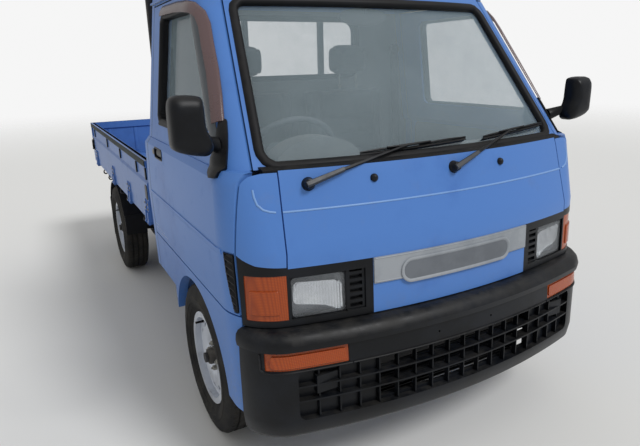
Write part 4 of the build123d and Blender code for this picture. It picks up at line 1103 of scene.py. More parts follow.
@dataclass
class PressedLines:
    """Raised crease round the cab's face, roof gutters, seals on the doors' tops and washer nozzles."""

    crease_z: float = 898.0
    corner: Flat = ((-558, 899), (-574, 902), (-590, 908), (-603, 922), (-608, 942), (-609, 961))
    gutter: Flat = ((575, 1513), (1204, 1513))
    door_top: Flat = ((640, 1502.6), (1146, 1502.6))
    nozzles: Flat = ((-268, 965), (209, 963))

    def build(self) -> None:
        """Makes the lines, seals and nozzles."""
        bead, face = oval(6, 2.4), LOWER.face()
        long = strip(face, line_through([(-540, self.crease_z), (540, self.crease_z)], 30), bead)
        # The bead's lighter blue is partly wear and partly a painted highlight.
        fit("face_crease", "worn_edge", long, both(strip(face, line_through(self.corner, 10), bead)))
        fit("roof_gutters", "paint", both(strip(UPPER.wall(), line_through(self.gutter, 40), oval(10, 5, 2))))
        lip = strip(UPPER.wall(), line_through(self.door_top, 40), [(-1.4, -16), (-1.4, -7), (2, -7), (2, -16)],
                    (900, 1600))
        fit("door_top_seals", "rubber", both(lip))
        jets = []
        for x, z in self.nozzles:
            foot, normal = face(x, z)
            jets.append(turned([(-2, 12), (2, 12), (7, 9.5), (11, 5), (12.2, 0)], foot, normal + UP * 0.5, 20, 60))
        fit("washer_nozzles", "black", *jets, smooth=60)


@dataclass
class FrontLamps:
    """Headlamps with a bowl, a bulb cap and a ribbed glass, dark parts round the bowl that are painted shade, and the
    raised fields of the turn lamps.
    """

    lens: Sizes = (-544, 600, -384, 722)
    middle: tuple[float, float] = (-464, 661)
    bowl_depth: float = 14.0
    bright: Flat = ((-394, 681), (-394, 613), (-406, 607), (-452, 627), (-530, 639), (-535, 647), (-535, 695),
                    (-524, 703), (-406, 697))
    turn_field: Sizes = (-645, 618, -574, 688)

    def bowl(self, across: float, up: float) -> float:
        """Depth of the reflector's hollow at shares across and up."""
        reach = ((2 * across - 1) ** 2 + (2 * up - 1) ** 2) / 1.35
        return -self.bowl_depth * max(0.0, 1 - reach) + 0.5 * math.sin(across * 40.0)

    def build(self) -> None:
        """Makes both lamps."""
        face, outline = LOWER.face(), frame_of(*self.lens, 15, 8)
        fit("headlamp_glass", "lamp_glass", both(plate(face, outline, -7.5, 4, 14, 16, pillow(1.5))),
            node="headlamps")
        fit("headlamp_bowls", "reflector", both(plate(face, self.bright, -11.5, 3, 18, 20, self.bowl, 60), smooth=60))
        # Grey plate round the bowl, black rim walls and the bulb caps in the middle give the lamp its dark border and
        # middle: painted shade, the caps also being real parts.
        fit("headlamp_edges", "lamp_edge", both(plate(face, outline, -30, 2, 8, 8)))
        cap = turned([(0, 12), (6, 12), (10, 10), (12, 0)], LOWER.face(-27)(*self.middle)[0], -BACK, 24, 50)
        fit("headlamp_bulb_caps", "lamp_edge", both(cap, smooth=50))
        rim = ring_strip(face, frame_of(*self.lens, 15, 10), [(-1, -6), (3.5, -6), (3.5, -30), (-1, -30)])
        fit("headlamp_rims", "black", both(rim))
        raised = plate(face, frame_of(*self.turn_field, 5, 8), 2.5, 8, 10, 12,
                       lambda u, v: -1.8 if min(u, v, 1 - u, 1 - v) < 0.03 else 0.0)
        fit("turn_lamp_fields", "amber", both(raised))


@dataclass
class Garnish:
    """Bare oval field in the silver bar between the lamps."""

    rim: Sizes = (-212, 659, 212, 728)
    inner: Sizes = (-204.58, 665.9, 204.58, 721.1)

    def build(self) -> None:
        """Makes the field, its rim and the bar's own beads."""
        face = LOWER.face()
        fit("garnish_field", "grey_dark", plate(face, frame_of(*self.inner, 26.5, 8), 7.5, 6, 10, 40))
        fit("garnish_rim", "grey", ring_strip(face, frame_of(*self.rim, 33, 8), [(-4, 0), (-3, 9), (0, 10.5), (4, 9),
                                                                             (8, 6.5), (8, 0)]))
        fit("garnish_beads", "grey", *(strip(face, line_through([(-297, z), (297, z)], 25), oval(7, 6.6, 0))
                                       for z in (674.5, 744.5)))


@dataclass
class BumperTrim:
    """Lens fields and the fine ridge of the bumper, and the radiator behind its grille."""

    lamp: Sizes = (-620.16, 476, -411.84, 512)
    ridge: Flat = ((-396, 463), (-634, 463), (-641, 470), (-641, 516))
    core: Sizes = (-350, 256, 350, 476)

    def build(self) -> None:
        """Makes the trim of the bumper."""
        face, bead = BUMPER.face(), oval(6, 4)
        fit("bumper_lamp_fields", "amber", both(plate(face, frame_of(*self.lamp, 8, 10), 1.5, 6, 6, 20)))
        fit("bumper_ridge", "black", both(strip(face, line_through(self.ridge, 12), bead)),
            strip(face, line_through([(-392, 463), (392, 463)], 20), bead))
        front = ahead_of(118)
        fins = (strip(front, [(-340, z), (340, z)], [(-1, -2), (-1, 8), (1, 8), (1, -2)])
                for z in range(264, 470, 12))
        fit("radiator", "black", plate(front, frame_of(*self.core, 10, 40), 0, 16, 6, 10), *fins,
            slot="engine_metal")


@dataclass
class DoorTrim:
    """What a door carries: window seal, rain visor, vents, handle, lock and the card inside."""

    window: Flat = ((384, 1079), (1000, 1079), (1021, 1100), (1021, 1432), (1000, 1453), (640, 1453))
    visor: Flat = ((364, 1118), (405, 1182), (455, 1254), (512, 1329), (552, 1384), (581, 1414), (620, 1434),
                   (680, 1443), (800, 1451), (1000, 1455))
    visor_section: Flat = ((-32, -1), (-32, 4), (-24, 9), (-10, 14), (-1, 16), (4, 15), (4, 12), (-10, 10.5),
                           (-24, 5), (-29, -1))
    quarter: Flat = ((336, 1084), (384, 1084), (424, 1138), (469, 1201), (522, 1273), (576, 1348), (619, 1408),
                     (640, 1436), (600, 1436), (554, 1386), (512, 1329), (455, 1254), (405, 1182), (364, 1118))
    handle: Sizes = (905, 943, 1023, 981)
    vents: Flat = ((203, 616), (215, 616), (229, 672), (240, 732), (245, 785), (210.5, 785))
    belt: Flat = ((392, 1070), (1010, 1070))
    crease: Flat = ((258, 789), (1144, 789))
    # Start, end and height of pale streaks along the door's lower edge, which are painted highlights.
    scratches: tuple[Sizes, ...] = ((985, 1128, 640), (1010, 1136, 626), (930, 1040, 632), (1090, 1140, 652))
    blades: int = 8
    card_size: Sizes = (330, 640, 1120, 985)
    card_gap: float = 38.0

    def build(self) -> None:
        """Makes the trim of both doors."""
        high, low = UPPER.wall(), LOWER.wall()
        wide = [(u * 0.85, v if v > -5 else v - 11) for u, v in SEAL]
        fit_doors("door_window_seal", "rubber", strip(high, line_through(self.window, 25), wide, (800, 1250)))
        fit_doors("quarter_light", "tinted", plate(high, self.quarter, 1.6, 2.4, 24, 6))
        fit_doors("door_belt_seal", "rubber", strip(high, line_through(self.belt, 30), oval(14, 7)))
        hood = strip(high, line_through(self.visor, 25), self.visor_section, (900, 1250), smooth=60)
        fit_doors("rain_visor", "visor", hood)
        fit_doors("door_crease", "paint", strip(low, line_through(self.crease, 30), [
            (-16, -1), (-12, 1.2), (-2, 3.2), (1.5, 3), (3, -1)], (700, 900)))
        # Thin pale streaks along the door's lower edge: painted highlights.
        fit_doors("sill_scratches", "bare_mark", *(
            strip(low, line_through([(start, z), (end, z - 3)], 20), [(-1.3, -0.5), (0, 0.35), (1.3, -0.5)])
            for start, end, z in self.scratches))
        self.vent_trim(low)
        self.handle_trim(low)
        self.card()

    def vent_trim(self, wall: Place) -> None:
        """Black vents behind the door's front edge."""
        backing = plate(wall, self.vents, -1, 1.6, 12, 6)
        frame = strip(wall, self.vents, [(-1, -3), (0, 2.6), (3, 3), (5, 1.5), (5, -3)], (216, 700), True)
        blades = []
        for z in (622 + 20.5 * step for step in range(self.blades)):
            left, right = spans(self.vents, z + 6)
            blades.append(strip(wall, line_through([(left + 2, z), (right - 2, z + 9)], 8),
                                [(-8, -2.5), (-7, 2.4), (-3, 4.2), (8, -2.5)], (220, 1200)))
        fit_doors("door_vents", "black", backing, frame, *blades)

    def handle_trim(self, wall: Place) -> None:
        """Frame, paddle and lock of the door handle."""
        front, low, rear, high = self.handle
        rim = ring_strip(wall, frame_of(*self.handle, 10, 8),
                         [(-3, -1), (-2.5, 1.8), (1, 2.4), (3, 1), (3, -17), (1, -17)])
        paddle = plate(wall, frame_of(front + 8, low + 9, rear - 30, high - 4, 7, 8), -3, 5, 8, 12,
                       lambda u, v: 2.5 * math.sin(math.pi * v))
        bed = plate(wall, frame_of(front + 3, low + 3, rear - 3, high - 3, 8, 8), -15, 2, 4, 6)
        fit_doors("door_handle", "black", rim, paddle, bed)
        seat, normal = wall(rear + 22, (low + high) / 2)
        lock = turned([(-1, 12), (1.5, 11.8), (2.5, 9.5), (1.5, 8)], seat, normal, 28, 30)
        slot = plate(plane(seat + normal * 0.0017, BACK, UP), [(-1, -5), (1, -5), (1, 5), (-1, 5)], 0.4, 0.8, 2, 2)
        fit_doors("door_lock", "bolt", lock, slot, slot="black_plastic")

    def card(self) -> None:
        """Inner card with arm rest and window crank."""
        depth = LOWER.flank(700, 800) - self.card_gap
        panel = plate(right_side(depth, ACROSS), frame_of(*self.card_size, 24, 40), 4, 6, 10, 16)
        section = ((2, 792), (44, 796), (50, 810), (46, 826), (30, 832), (2, 832))
        rest = lofted([[at(out - depth, behind, z) for out, z in section] for behind in (560, 575, 760, 900, 915)], 1)
        fit_doors("door_card", "cabin", panel, rest, smooth=40)
        hub = at(4 - depth, 640, 742)
        end = hub + Vector((0, 0.1, -0.05))
        knob = turned([(20, 9), (40, 11.5), (52, 9), (53, 0)], end, ACROSS, 20, 50)
        arm = rod([hub + ACROSS * 0.018, hub + Vector((0.024, 0.04, -0.02)), end + ACROSS * 0.026], (6, 5, 5), 10)
        disc = turned([(0, 20), (6, 20), (14, 13), (20, 12)], hub, ACROSS, 24, 40)
        fit_doors("window_crank", "cabin_dark", disc, arm, knob)


@dataclass
class Mirror:
    """Door mirror: a domed head with its glass, an arm and the foot on the door."""

    outline: Flat = ((791, 1100), (791, 1162), (788, 1190), (779, 1203), (758, 1207), (712, 1203), (703, 1188),
                     (701, 1150), (699, 1122), (689, 1095), (683, 1072), (690, 1056), (708, 1050), (751, 1058),
                     (782, 1070), (790, 1082))
    middle: tuple[float, float] = (741, 1130)
    head: Flat = ((287, 0.86), (287.5, 0.90), (293, 0.93), (293, 0.98), (289, 1.0), (262, 1.0), (248, 0.95),
                  (238, 0.82), (233, 0.62), (231, 0.3))
    foot: Flat = ((268, 986), (300, 984), (334, 996), (346, 1012), (349, 1030), (338, 1046), (334, 1064),
                  (346, 1096), (358, 1132), (342, 1132), (318, 1096), (298, 1063), (282, 1034), (268, 1008))
    arm: tuple[Sizes, ...] = ((650, 326, 1064, 23.8, 26), (668, 318, 1072, 19.6, 21), (684, 300, 1082, 16.8, 17),
                              (704, 280, 1090, 15.4, 16), (722, 268, 1098, 14, 15))
    belt: float = 1005.0
    widest: float = 791.0

    def ring(self, behind: float, scale: float, steps: int = 4) -> list[Vector]:
        """Section of the head at a distance behind and a scale about its middle."""
        count = len(self.outline)
        points = []
        for index in range(count):
            before, here, after, later = (Vector(self.outline[(index + k) % count]) for k in (-1, 0, 1, 2))
            for t in (step / steps for step in range(steps)):
                spot = 0.5 * (2 * here + (after - before) * t + (2 * before - 5 * here + 4 * after - later) * t * t
                              + (3 * here - before - 3 * after + later) * t**3)
                x, z = (m + (s - m) * scale for s, m in zip(spot, self.middle))
                points.append(at(-min(x, self.widest), behind, z))
        return points

    def cheek(self, behind: float, z: float) -> Spot:
        """Place on the door round its belt line, where the lower skin stands wider."""
        skin = UPPER if z > self.belt else LOWER
        blend = min(max((z - self.belt + 8) / 60, 0.0), 1.0)
        return at(-skin.flank(behind, z) - 4 * (1 - blend), behind, z), UPPER.wall()(behind, z)[1]

    def build(self) -> None:
        """Makes both mirrors."""
        head = lofted([self.ring(*section) for section in self.head], 0, 60)
        foot = plate(self.cheek, rounded(self.foot, 6, 10), 7, 14, 18, 10, pillow(3))
        arm = lofted([circle(at(-x, behind, z), BACK * deep * MM, UP * wide * MM, 16)
                      for x, behind, z, deep, wide in self.arm])
        fit_doors("mirror_shell", "black", head, foot, arm, smooth=50, node="mirror_{}")
        inner = [tuple((m + (s - m) * 0.88) * sign for s, m, sign in zip(spot, self.middle, (-1, 1)))
                 for spot in self.outline]
        fit_doors("mirror_glass", "mirror", plate(back_of(289.5), inner, 0.5, 2, 16, 8))


@dataclass
class Wipers:
    """Two wipers: spindle boss with its collar, tapered arm, bracket, rail and rubber lip."""

    places: tuple[Sizes, ...] = ((-461, 965, -280, 1022, 110, 1035), (10, 968, 188, 1030, 530, 1046))
    grip: float = 0.42
    screen_out: Point = (0.0, -0.79, 0.61)

    def build(self) -> None:
        """Makes both wipers."""
        black, metal, lips = [], [], []
        for pivot_x, pivot_z, x0, z0, x1, z1 in self.places:
            def on_blade(share: float, rise: float, out: float) -> Vector:
                """Point along the blade, raised up the screen and lifted off it."""
                return UPPER.face(out)(x0 + (x1 - x0) * share, z0 + (z1 - z0) * share + rise)[0]
            foot, normal = LOWER.face()(pivot_x, pivot_z)
            black.append(turned([(-2, 19), (2, 19), (5, 16), (16, 14.5), (22, 12), (23.5, 7)], foot, normal, 32, 40))
            start, end = foot + normal * 0.020, on_blade(self.grip, 5, 14)
            knee = start.lerp(end, 0.30) + Vector((0, -0.010, 0.006))
            metal.append(self.bar([start + (start - knee).normalized() * 0.010, start, knee], (8.5, 9.0, 6.5), 7.0))
            bend = knee.lerp(end, 0.5) + Vector((0, -0.004, 0.002))
            black.append(self.bar([start.lerp(knee, 0.9), knee, bend, end], (5.6, 5.2, 4.2, 3.4), 4.0))
            rail = [on_blade(0.22 + k * 0.1, 5, 14) - BACK * 0.003 * math.cos((k - 2) * 0.7) for k in range(5)]
            black.append(self.bar(rail, (2.5, 3.4, 4.2, 3.4, 2.5), 3.0))
            for low, high in ((0.0, 0.33), (0.52, 1.0)):
                bow = [on_blade(low + (high - low) * k / 6, 4, 6 + 5 * math.sin(math.pi * k / 6)) for k in range(7)]
                black.append(self.bar(bow, (2.2, 2.6, 3.0, 3.2, 3.0, 2.6, 2.2), 2.4))
            lips.append(strip(UPPER.face(-3), line_through([(x0, z0), (x1, z1)], 25), [
                (-1.2, -9), (-1.2, 4), (-3.4, 5), (-3.4, 8.5), (3.4, 8.5), (3.4, 5), (1.2, 4), (1.2, -9)]))
        fit("wiper_arms", "black", *black, smooth=50, node="wipers")
        fit("wiper_heads", "arm_grey", *metal, smooth=50)
        fit("wiper_lips", "rubber", *lips)

    def bar(self, points: Sequence[Vector], halves: Sequence[float], thick: float) -> Mesh:
        """Flat bar through points near the screen, with half widths and a half thickness in millimetres."""
        sections = []
        for index, (point, wide) in enumerate(zip(points, halves)):
            ahead = (points[min(index + 1, len(points) - 1)] - points[max(index - 1, 0)]).normalized()
            across = ahead.cross(Vector(self.screen_out)).normalized()
            over = across.cross(ahead) * thick * MM
            sections.append([point + across * wide * MM * u + over * v for u, v in
                             ((-1, -0.6), (1, -0.6), (1, 0.3), (0.6, 1), (-0.6, 1), (-1, 0.3))])
        return lofted(sections, 0, 30)


@dataclass
class Wheel:
    """Block-treaded tyre drawn about one wheel's axle, with the wheel's nuts, cap and valve."""

    name: str
    side: Side
    behind: float
    half_track: float = 605.0
    crown: float = 271.0
    hub_face: float = 23.0
    blocks: int = 64
    nuts: int = 4
    nut_circle: float = 50.0
    valve_circle: float = 136.0
    valve_turn: float = 0.8

    def profile(self) -> list[tuple[float, float]]:
        """Section from the inner bead over the crown to the outer bead and back."""
        side = [(49, 152.5), (49, 168.5), (53.5, 170), (56, 176), (62, 186), (63.2, 188.5), (64.4, 188.5), (69, 200),
                (70.2, 202.5), (71.8, 203), (72.5, 212), (72.2, 222), (70.5, 223.5), (69.5, 229), (66.8, 244),
                (63.5, 255.5), (61, 260), (56, 265.5), (49, 268.5)]
        grooves = [(middle + shift, self.crown - deep) for middle in (30, 0, -30)
                   for shift, deep in ((3.4, 1.2), (2.2, 7.5), (-2.2, 7.5), (-3.4, 1.2))]
        return side + grooves + [(-along, radius) for along, radius in reversed(side)] + side[:1]

    def build(self, ring: Repeat) -> None:
        """Makes the tyre with its ring of blocks, and the wheel's small parts."""
        centre, body = at(self.side.value * self.half_track, self.behind, self.crown), f"wheel_{self.name}"
        step = 2 * math.pi / self.blocks
        carcass = turned(self.profile(), centre, ACROSS, 112, 32, capped=False)
        blocks = [self.block(centre, low, high, step, lean, shift) for low, high, lean, shift in (
            (35.5, 59.5, 0.16, 0.0), (4.0, 26.2, 0.34, 0.0), (-26.2, -4.0, 0.34, 0.5), (-59.5, -35.5, 0.16, 0.5))]
        tread = ring.run(join(blocks, 30), self.blocks, (step, 0.0, 0.0), "tyre", centre)
        fit(f"tyre_{self.name}_tread", "tyre", carcass, tread, body=body, smooth=32, node=f"tyre_{self.name}")
        out = ACROSS * self.side.value
        seat = centre + out * self.hub_face * MM
        nut = turned([(0, 11.5), (3, 11.5), (3, 9.5), (14, 9.5), (16.5, 6.5), (16.5, 4), (21, 4), (21.5, 0)],
                     seat + UP * self.nut_circle * MM, out, 6, 25)
        nuts = ring.run(nut, self.nuts, (2 * math.pi / self.nuts, 0.0, 0.0), "bolt", centre)
        fit(f"wheel_nuts_{self.name}", "bolt", nuts, body=body, slot="rim_steel")
        cap = turned([(0, 33), (6, 33), (9, 29.5), (24, 28), (29, 25), (30.5, 20)], seat, out, 36, 40)
        fit(f"hub_cap_{self.name}", "cap_black", cap, body=body)
        around = BACK * math.sin(self.valve_turn) + UP * math.cos(self.valve_turn)
        valve = turned([(0, 5.5), (12, 4.5), (26, 4), (32, 4.5), (33, 0)],
                       centre + out * 0.030 + around * self.valve_circle * MM, out, 14, 40)
        fit(f"valve_{self.name}", "rubber", valve, body=body)

    def block(self, centre: Vector, low: float, high: float, step: float, lean: float, shift: float) -> Mesh:
        """One tread block.

        Args:
            centre: the wheel's middle.
            low: where it starts along the axle, in millimetres.
            high: where it ends.
            step: turn from one block to the next.
            lean: how far it leans round the tyre, as a share of the step.
            shift: where it starts round the tyre, as a share of the step.

        Returns:
            The mesh.
        """
        sections = []
        for along in (low, (low + high) / 2, high):
            drop = max(0.0, abs(along) - 46) ** 2 * 0.022 + (3.5 if abs(along) > 55 else 0.0)
            section = []
            for share, deep in ((-0.36, 9), (0.36, 9), (0.33, 0.3), (-0.33, 0.3)):
                angle = step * (share + shift + lean * (along - low) / (high - low))
                reach = self.crown - deep - drop
                section.append(centre + Vector((along, math.sin(angle) * reach, math.cos(angle) * reach)) * MM)
            sections.append(section)
        return lofted(sections, 0, 25)


# Heights of the points that the upright ribs inside the gates run through.
RIB_ROWS = (664, 690, 760, 838)


def rail_cover(section: Flat, point: Callable[[float, float], Vector], along: Vector) -> Mesh:
    """Rubber cover of a gate's top: a section drawn along a vector in four lengths."""
    corners = [point(*p) for p in section]
    return lofted([[p + along * share for p in corners] for share in (0, 0.25, 0.5, 0.75, 1)])


@dataclass
class GateTrim:
    """Rubber top rail, clips, hinge straps, latch and pressed ribs of the side gates."""

    clips: Sizes = (1300, 1518, 1991, 2486, 3114)
    hinges: Sizes = (1310, 1770, 2305, 3070)
    face_x: float = 684.0
    band_x: float = 676.0
    ends: tuple[float, float] = (1272, 3232)
    rib_place: tuple[float, float] = (1390, 668)
    ribs: int = 9
    rib_pitch: float = 0.215

    def stack(self, shape: Flat, behind: float, x: float, lifts: Sequence[float]) -> Mesh:
        """Flat form from an outline about a place behind, standing off a face by several lifts."""
        return lofted([[at(-x - lift, behind + d, z) for d, z in shape] for lift in lifts])

    def build(self, row: Repeat) -> None:
        """Makes the trim of both gates."""
        start, end = self.ends
        rail = strip(right_side(self.face_x), line_through([(start, 877), (end, 877)], 60),
                     [(-13, -1), (-13, 1.6), (-8, 3.4), (-3, 3.8), (3, 3.8), (8, 3.4), (13, 1.6), (13, -1)])
        cover = rail_cover(((686.4, 868), (687, 884), (684, 891.8), (674, 892), (659.5, 892), (657.8, 885),
                            (659, 880), (684, 868)), lambda x, z: at(-x, start, z), BACK * (end - start) * MM)
        fit_gates("gate_rail", "rail_rubber", rail, cover)
        clip = ((-7, 804), (7, 804), (7, 856), (-7, 856))
        fit_gates("gate_clips", "black", *(self.stack(clip, d, self.band_x, (-1, 5, 6.5)) for d in self.clips))
        strap = ((-9, 622), (9, 622), (9, 700), (5, 712), (-5, 712), (-9, 700))
        places = [hinge + end for hinge in self.hinges for end in (-27, 27)]
        fit_gates("gate_straps", "bed_paint", *(self.stack(strap, d, self.face_x, (-1, 3.5, 4.5)) for d in places))
        heads = bolts([(at(-self.face_x - 4.4, d, z), RIGHT_OUT) for d in places for z in (672, 696)], 4.5)
        fit_gates("gate_bolts", "bolt", heads, slot="body_paint")
        behind, x = self.rib_place
        rib = strip(right_side(x, ACROSS), [(behind, z) for z in RIB_ROWS], oval(26, 7, steps=8))
        fit_gates("gate_ribs", "bed_paint", row.run(rib, self.ribs, (0.0, self.rib_pitch, 0.0), "bed_paint"))
        face = right_side(self.face_x + 0.2)
        plates = (plate(face, frame_of(*size, 6, 12), 3, 4, 4, 4) for size in ((3168, 700, 3226, 786),
                                                                              (1276, 716, 1318, 780)))
        pin = rod([at(-690, 3172, 770), at(-690, 3224, 770)], (5, 5))
        lever = rod([at(-691, 3200, 772), at(-693, 3198, 740), at(-692, 3192, 706)], (6, 5, 7))
        fit_gates("gate_latch", "black", *plates, pin, lever, smooth=40)


@dataclass
class Bed:
    """Floor ribs, rope hooks, headboard and guard parts, and the tailgate's trim and lamps."""

    hooks: Sizes = (1460, 1930, 2150, 2620, 2860)
    sleeve: Flat = ((579, 1266), (583, 1263), (602, 1263), (606, 1267), (606, 1283), (602, 1287), (583, 1287),
                    (579, 1284))
    sleeve_rows: Sizes = (1186, 1190, 1380, 1570, 1762, 1766)
    lamp_fields: tuple[tuple[str, float, float], ...] = (("amber", 552, 596), ("red", 492, 550),
                                                         ("white_lens", 459, 490))

    def presses(self, place: Place, centres: Sequence[float], half: float, low: float, high: float,
                radius: float) -> list[Mesh]:
        """Pressed frames on a board, each half wide to both sides of its centre, between two heights."""
        return [ring_strip(place, frame_of(x - half, low, x + half, high, radius, 30), oval(14, 4)) for x in centres]

    def build(self, row: Repeat) -> None:
        """Makes the parts of the bed."""
        rib = strip(level(640), line_through([(-600, 1330), (-600, 3215)], 300),
                    [(-26, -1), (-22, 5), (-16, 6.5), (16, 6.5), (22, 5), (26, -1)])
        fit("bed_floor_ribs", "bed_paint", row.run(rib, 11, (0.120, 0.0, 0.0), "bed_paint"))
        hooks = []
        for behind in self.hooks:
            bend = arc(at(-668, behind, 588), RIGHT_OUT * 0.012, UP * 0.014, 60, -200, 12)
            hooks.append(rod([at(-652, behind, 600), *bend], (4.5,) * 14, 10))
        fit("rope_hooks", "chassis", both(*hooks, smooth=50))
        spots = [(at(x, 1288.2, z), BACK) for x in (-620, -360, 0, 360, 620) for z in (680, 850)]
        spots += [(at(x, 1262, z), -BACK) for x in (-560, 560, -190, 190) for z in (905, 1192)]
        fit("headboard_bolts", "bolt", bolts(spots, 6), slot="body_paint")
        fit("guard_sleeves", "chassis",
            both(lofted([[at(-x, behind, z) for x, behind in self.sleeve] for z in self.sleeve_rows])))
        fit("headboard_press", "bed_paint", *self.presses(back_of(1288.1), (-430, 0, 430), 180, 690, 850, 22))
        self.tailgate(row)
        self.lamps()

    def tailgate(self, row: Repeat) -> None:
        """Rail, latches, pressed ribs and frames, and bolts of the tailgate."""
        cover = rail_cover(((3272.4, 868), (3273, 884), (3270, 891.8), (3258, 892), (3247, 892), (3246, 885),
                            (3248, 878), (3270, 868)), lambda behind, z: at(-680, behind, z), ACROSS * 1.36)
        fit_tailgate("tailgate_rail", "black", cover, slot="rubber")
        latch = plate(back_of(3270.2), frame_of(-660, 700, -600, 790, 6, 12), 3, 4, 4, 4)
        lever = rod([at(-630, 3277, 776), at(-628, 3280, 742), at(-624, 3279, 706)], (6, 5, 7))
        fit_tailgate("tailgate_latches", "black", both(latch, lever, smooth=40))
        rib = strip(ahead_of(3255), [(-560, z) for z in RIB_ROWS], oval(26, 7, steps=8))
        fit_tailgate("tailgate_ribs", "bed_paint", row.run(rib, 7, (0.1867, 0.0, 0.0), "bed_paint"))
        fit_tailgate("tailgate_press", "bed_paint", *self.presses(back_of(3270), (-400, 0, 400), 170, 660, 770, 20))
        spots = [(at(hinge + end, 3270.3, 668), BACK) for hinge in (-520, 0, 520) for end in (-27, 27)]
        fit_tailgate("tailgate_bolts", "bolt", bolts(spots, 4.5), slot="body_paint")

    def lamps(self) -> None:
        """Three fields on each tail lamp and their black housing."""
        for look, low, high in self.lamp_fields:
            cell = plate(back_of(3288), frame_of(-high, 482, -low, 548, 5, 10), 3, 4, 8, 10, pillow(2))
            fit(f"tail_field_{look}", look, both(cell))
        house = ring_strip(back_of(3284), frame_of(-602, 476, -453, 554, 6, 10),
                           [(-3, -16), (-3, 5), (1, 6), (3, 3), (3, -16)])
        fit("tail_lamp_houses", "black", both(house))


@dataclass
class Underbody:
    """Bolts, straps and boots on the chassis, and the bolts of the mud flaps."""

    frame_bolts: Sizes = (760, 1050, 1330, 2040, 2980)
    straps: Sizes = (1540, 1800)
    tank: Sizes = (375, 336, 609, 519)

    def build(self) -> None:
        """Makes the parts under the truck."""
        fit("frame_bolts", "bolt", both(bolts([(at(-376.5, d, 455), RIGHT_OUT) for d in self.frame_bolts], 8)),
            slot="chassis_black")
        ring, parts = frame_of(*self.tank, 31, 20), []
        for behind in self.straps:
            path = [at(x, behind, z) for x, z in ring]
            normals = [BACK.cross(after - before).normalized() for before, after in
                       zip(path[-1:] + path[:-1], path[1:] + path[:1])]
            parts.append(swept(path, normals, [(-14, -1), (14, -1), (14, 2.5), (-14, 2.5)], True))
        parts.append(turned([(0, 30), (12, 30), (16, 27)], at(610, 1500, 480), ACROSS, 28, 30))
        fit("tank_straps", "chassis", *parts, smooth=30)
        folds = [(0, 34)]
        for step in range(6):
            folds += [(6 + step * 13, 36 - step * 2.5), (12 + step * 13, 29 - step * 2.2)]
        boot = turned(folds + [(88, 16)], at(-282, 760, 300), RIGHT_OUT, 28, 30)
        fit("rack_boots", "rubber", both(boot, smooth=30))
        flaps = [(at(x, 2811.1, 405), BACK) for x in (-560, -606, -652)]
        fit("flap_bolts", "bolt", both(bolts(flaps, 5)), slot="rubber")


@dataclass
class Cushion:
    """Foam pad under cloth: a rounded block, puffed by a cloth simulation, then sewn channels pressed in."""

    name: str
    node: str
    fill: float
    copy_shift: float
    low: Vector
    high: Vector
    slant: float = 0.0
    channels: Sizes = ()
    voxel: float = 0.006
    power: float = 0.0
    cap: float = 0.007
    shrink: float = 0.008
    pressure: float = 4.0
    frames: int = 20
    seam: float = 0.006

    def build(self) -> None:
        """Makes the right seat's pad and its copy on the left seat."""
        holder = hold(self.start())
        remesh = holder.modifiers.new("remesh", "REMESH")
        remesh.mode, remesh.voxel_size = "VOXEL", self.voxel
        base = settled(holder)
        holder.modifiers.clear()
        holder.data = base
        self.round_off(base)
        rest = [vert.co.copy() for vert in base.vertices]
        self.puff(holder)
        final = holder.data
        for vert, was in zip(final.vertices, rest):
            shift = vert.co - was
            if shift.length > self.cap:
                vert.co = was + shift.normalized() * self.cap
        bpy.data.objects.remove(holder)
        self.sew(final)
        tidy(final, 70.0, outwards=False)
        other = moved(final, ACROSS * self.copy_shift * MM)
        for word, mesh, node in (("right", final, self.node), ("left", other, "")):
            fit(f"{self.name}_{word}", "cloth", mesh, node=node)

    def start(self) -> Mesh:
        """Rounded block a little smaller than the pad, leaning back by slant metres over its height."""
        margin = Vector((self.shrink,) * 3)
        low, high = self.low + margin, self.high - margin
        mesh = block(low, high, min(high - low) * 0.32)
        for vert in mesh.vertices:
            vert.co.y += self.slant * (vert.co.z - low.z) / (high.z - low.z)
        return mesh

    def round_off(self, mesh: Mesh) -> None:
        """Draws the corners in, seen from ahead, to the oval that the power gives."""
        if not self.power:
            return
        middle, half = (self.low + self.high) / 2, (self.high - self.low) / 2
        for vert in mesh.vertices:
            u, w = (abs(vert.co[k] - middle[k]) / half[k] for k in (0, 2))
            if max(u, w) > 0.05:
                share = max(u, w) / (u**self.power + w**self.power) ** (1 / self.power)
                vert.co.x = middle.x + (vert.co.x - middle.x) * share
                vert.co.z = middle.z + (vert.co.z - middle.z) * share

    def puff(self, holder: bpy.types.Object) -> None:
        """Runs the cloth simulation and keeps its result as the holder's mesh."""
        cloth = holder.modifiers.new("cloth", "CLOTH")
        cloth.settings.use_pressure = True
        cloth.settings.uniform_pressure_force = self.pressure
        cloth.settings.effector_weights.gravity = 0.0
        cloth.settings.quality = 5
        cloth.point_cache.frame_start, cloth.point_cache.frame_end = 1, self.frames
        for frame in range(1, self.frames + 1):
            bpy.context.scene.frame_set(frame)
        puffed = bpy.data.meshes.new_from_object(holder.evaluated_get(bpy.context.evaluated_depsgraph_get()))
        holder.modifiers.clear()
        holder.data = puffed
        bpy.context.scene.frame_set(1)

    def sew(self, mesh: Mesh) -> None:
        """Presses the channels in across the pad, and a seam line in from each side."""
        middle, half = (self.low + self.high) / 2, (self.high - self.low) / 2
        tall = half.z > half.y
        along = 2 if tall else 1
        for vert in mesh.vertices:
            across = abs(vert.co.x - middle.x) / half.x
            run = (vert.co[along] - middle[along]) / half[along]
            press = max((math.exp(-(((run - channel) * half[along]) / self.seam) ** 2) for channel in self.channels),
                        default=0.0) if across < 0.66 else 0.0
            edge = math.exp(-(((across - 0.68) * half.x) / self.seam) ** 2) if self.channels else 0.0
            facing = max(-vert.normal.y if tall else vert.normal.z, 0.0)
            vert.co -= vert.normal * max(press, edge) * self.seam * facing


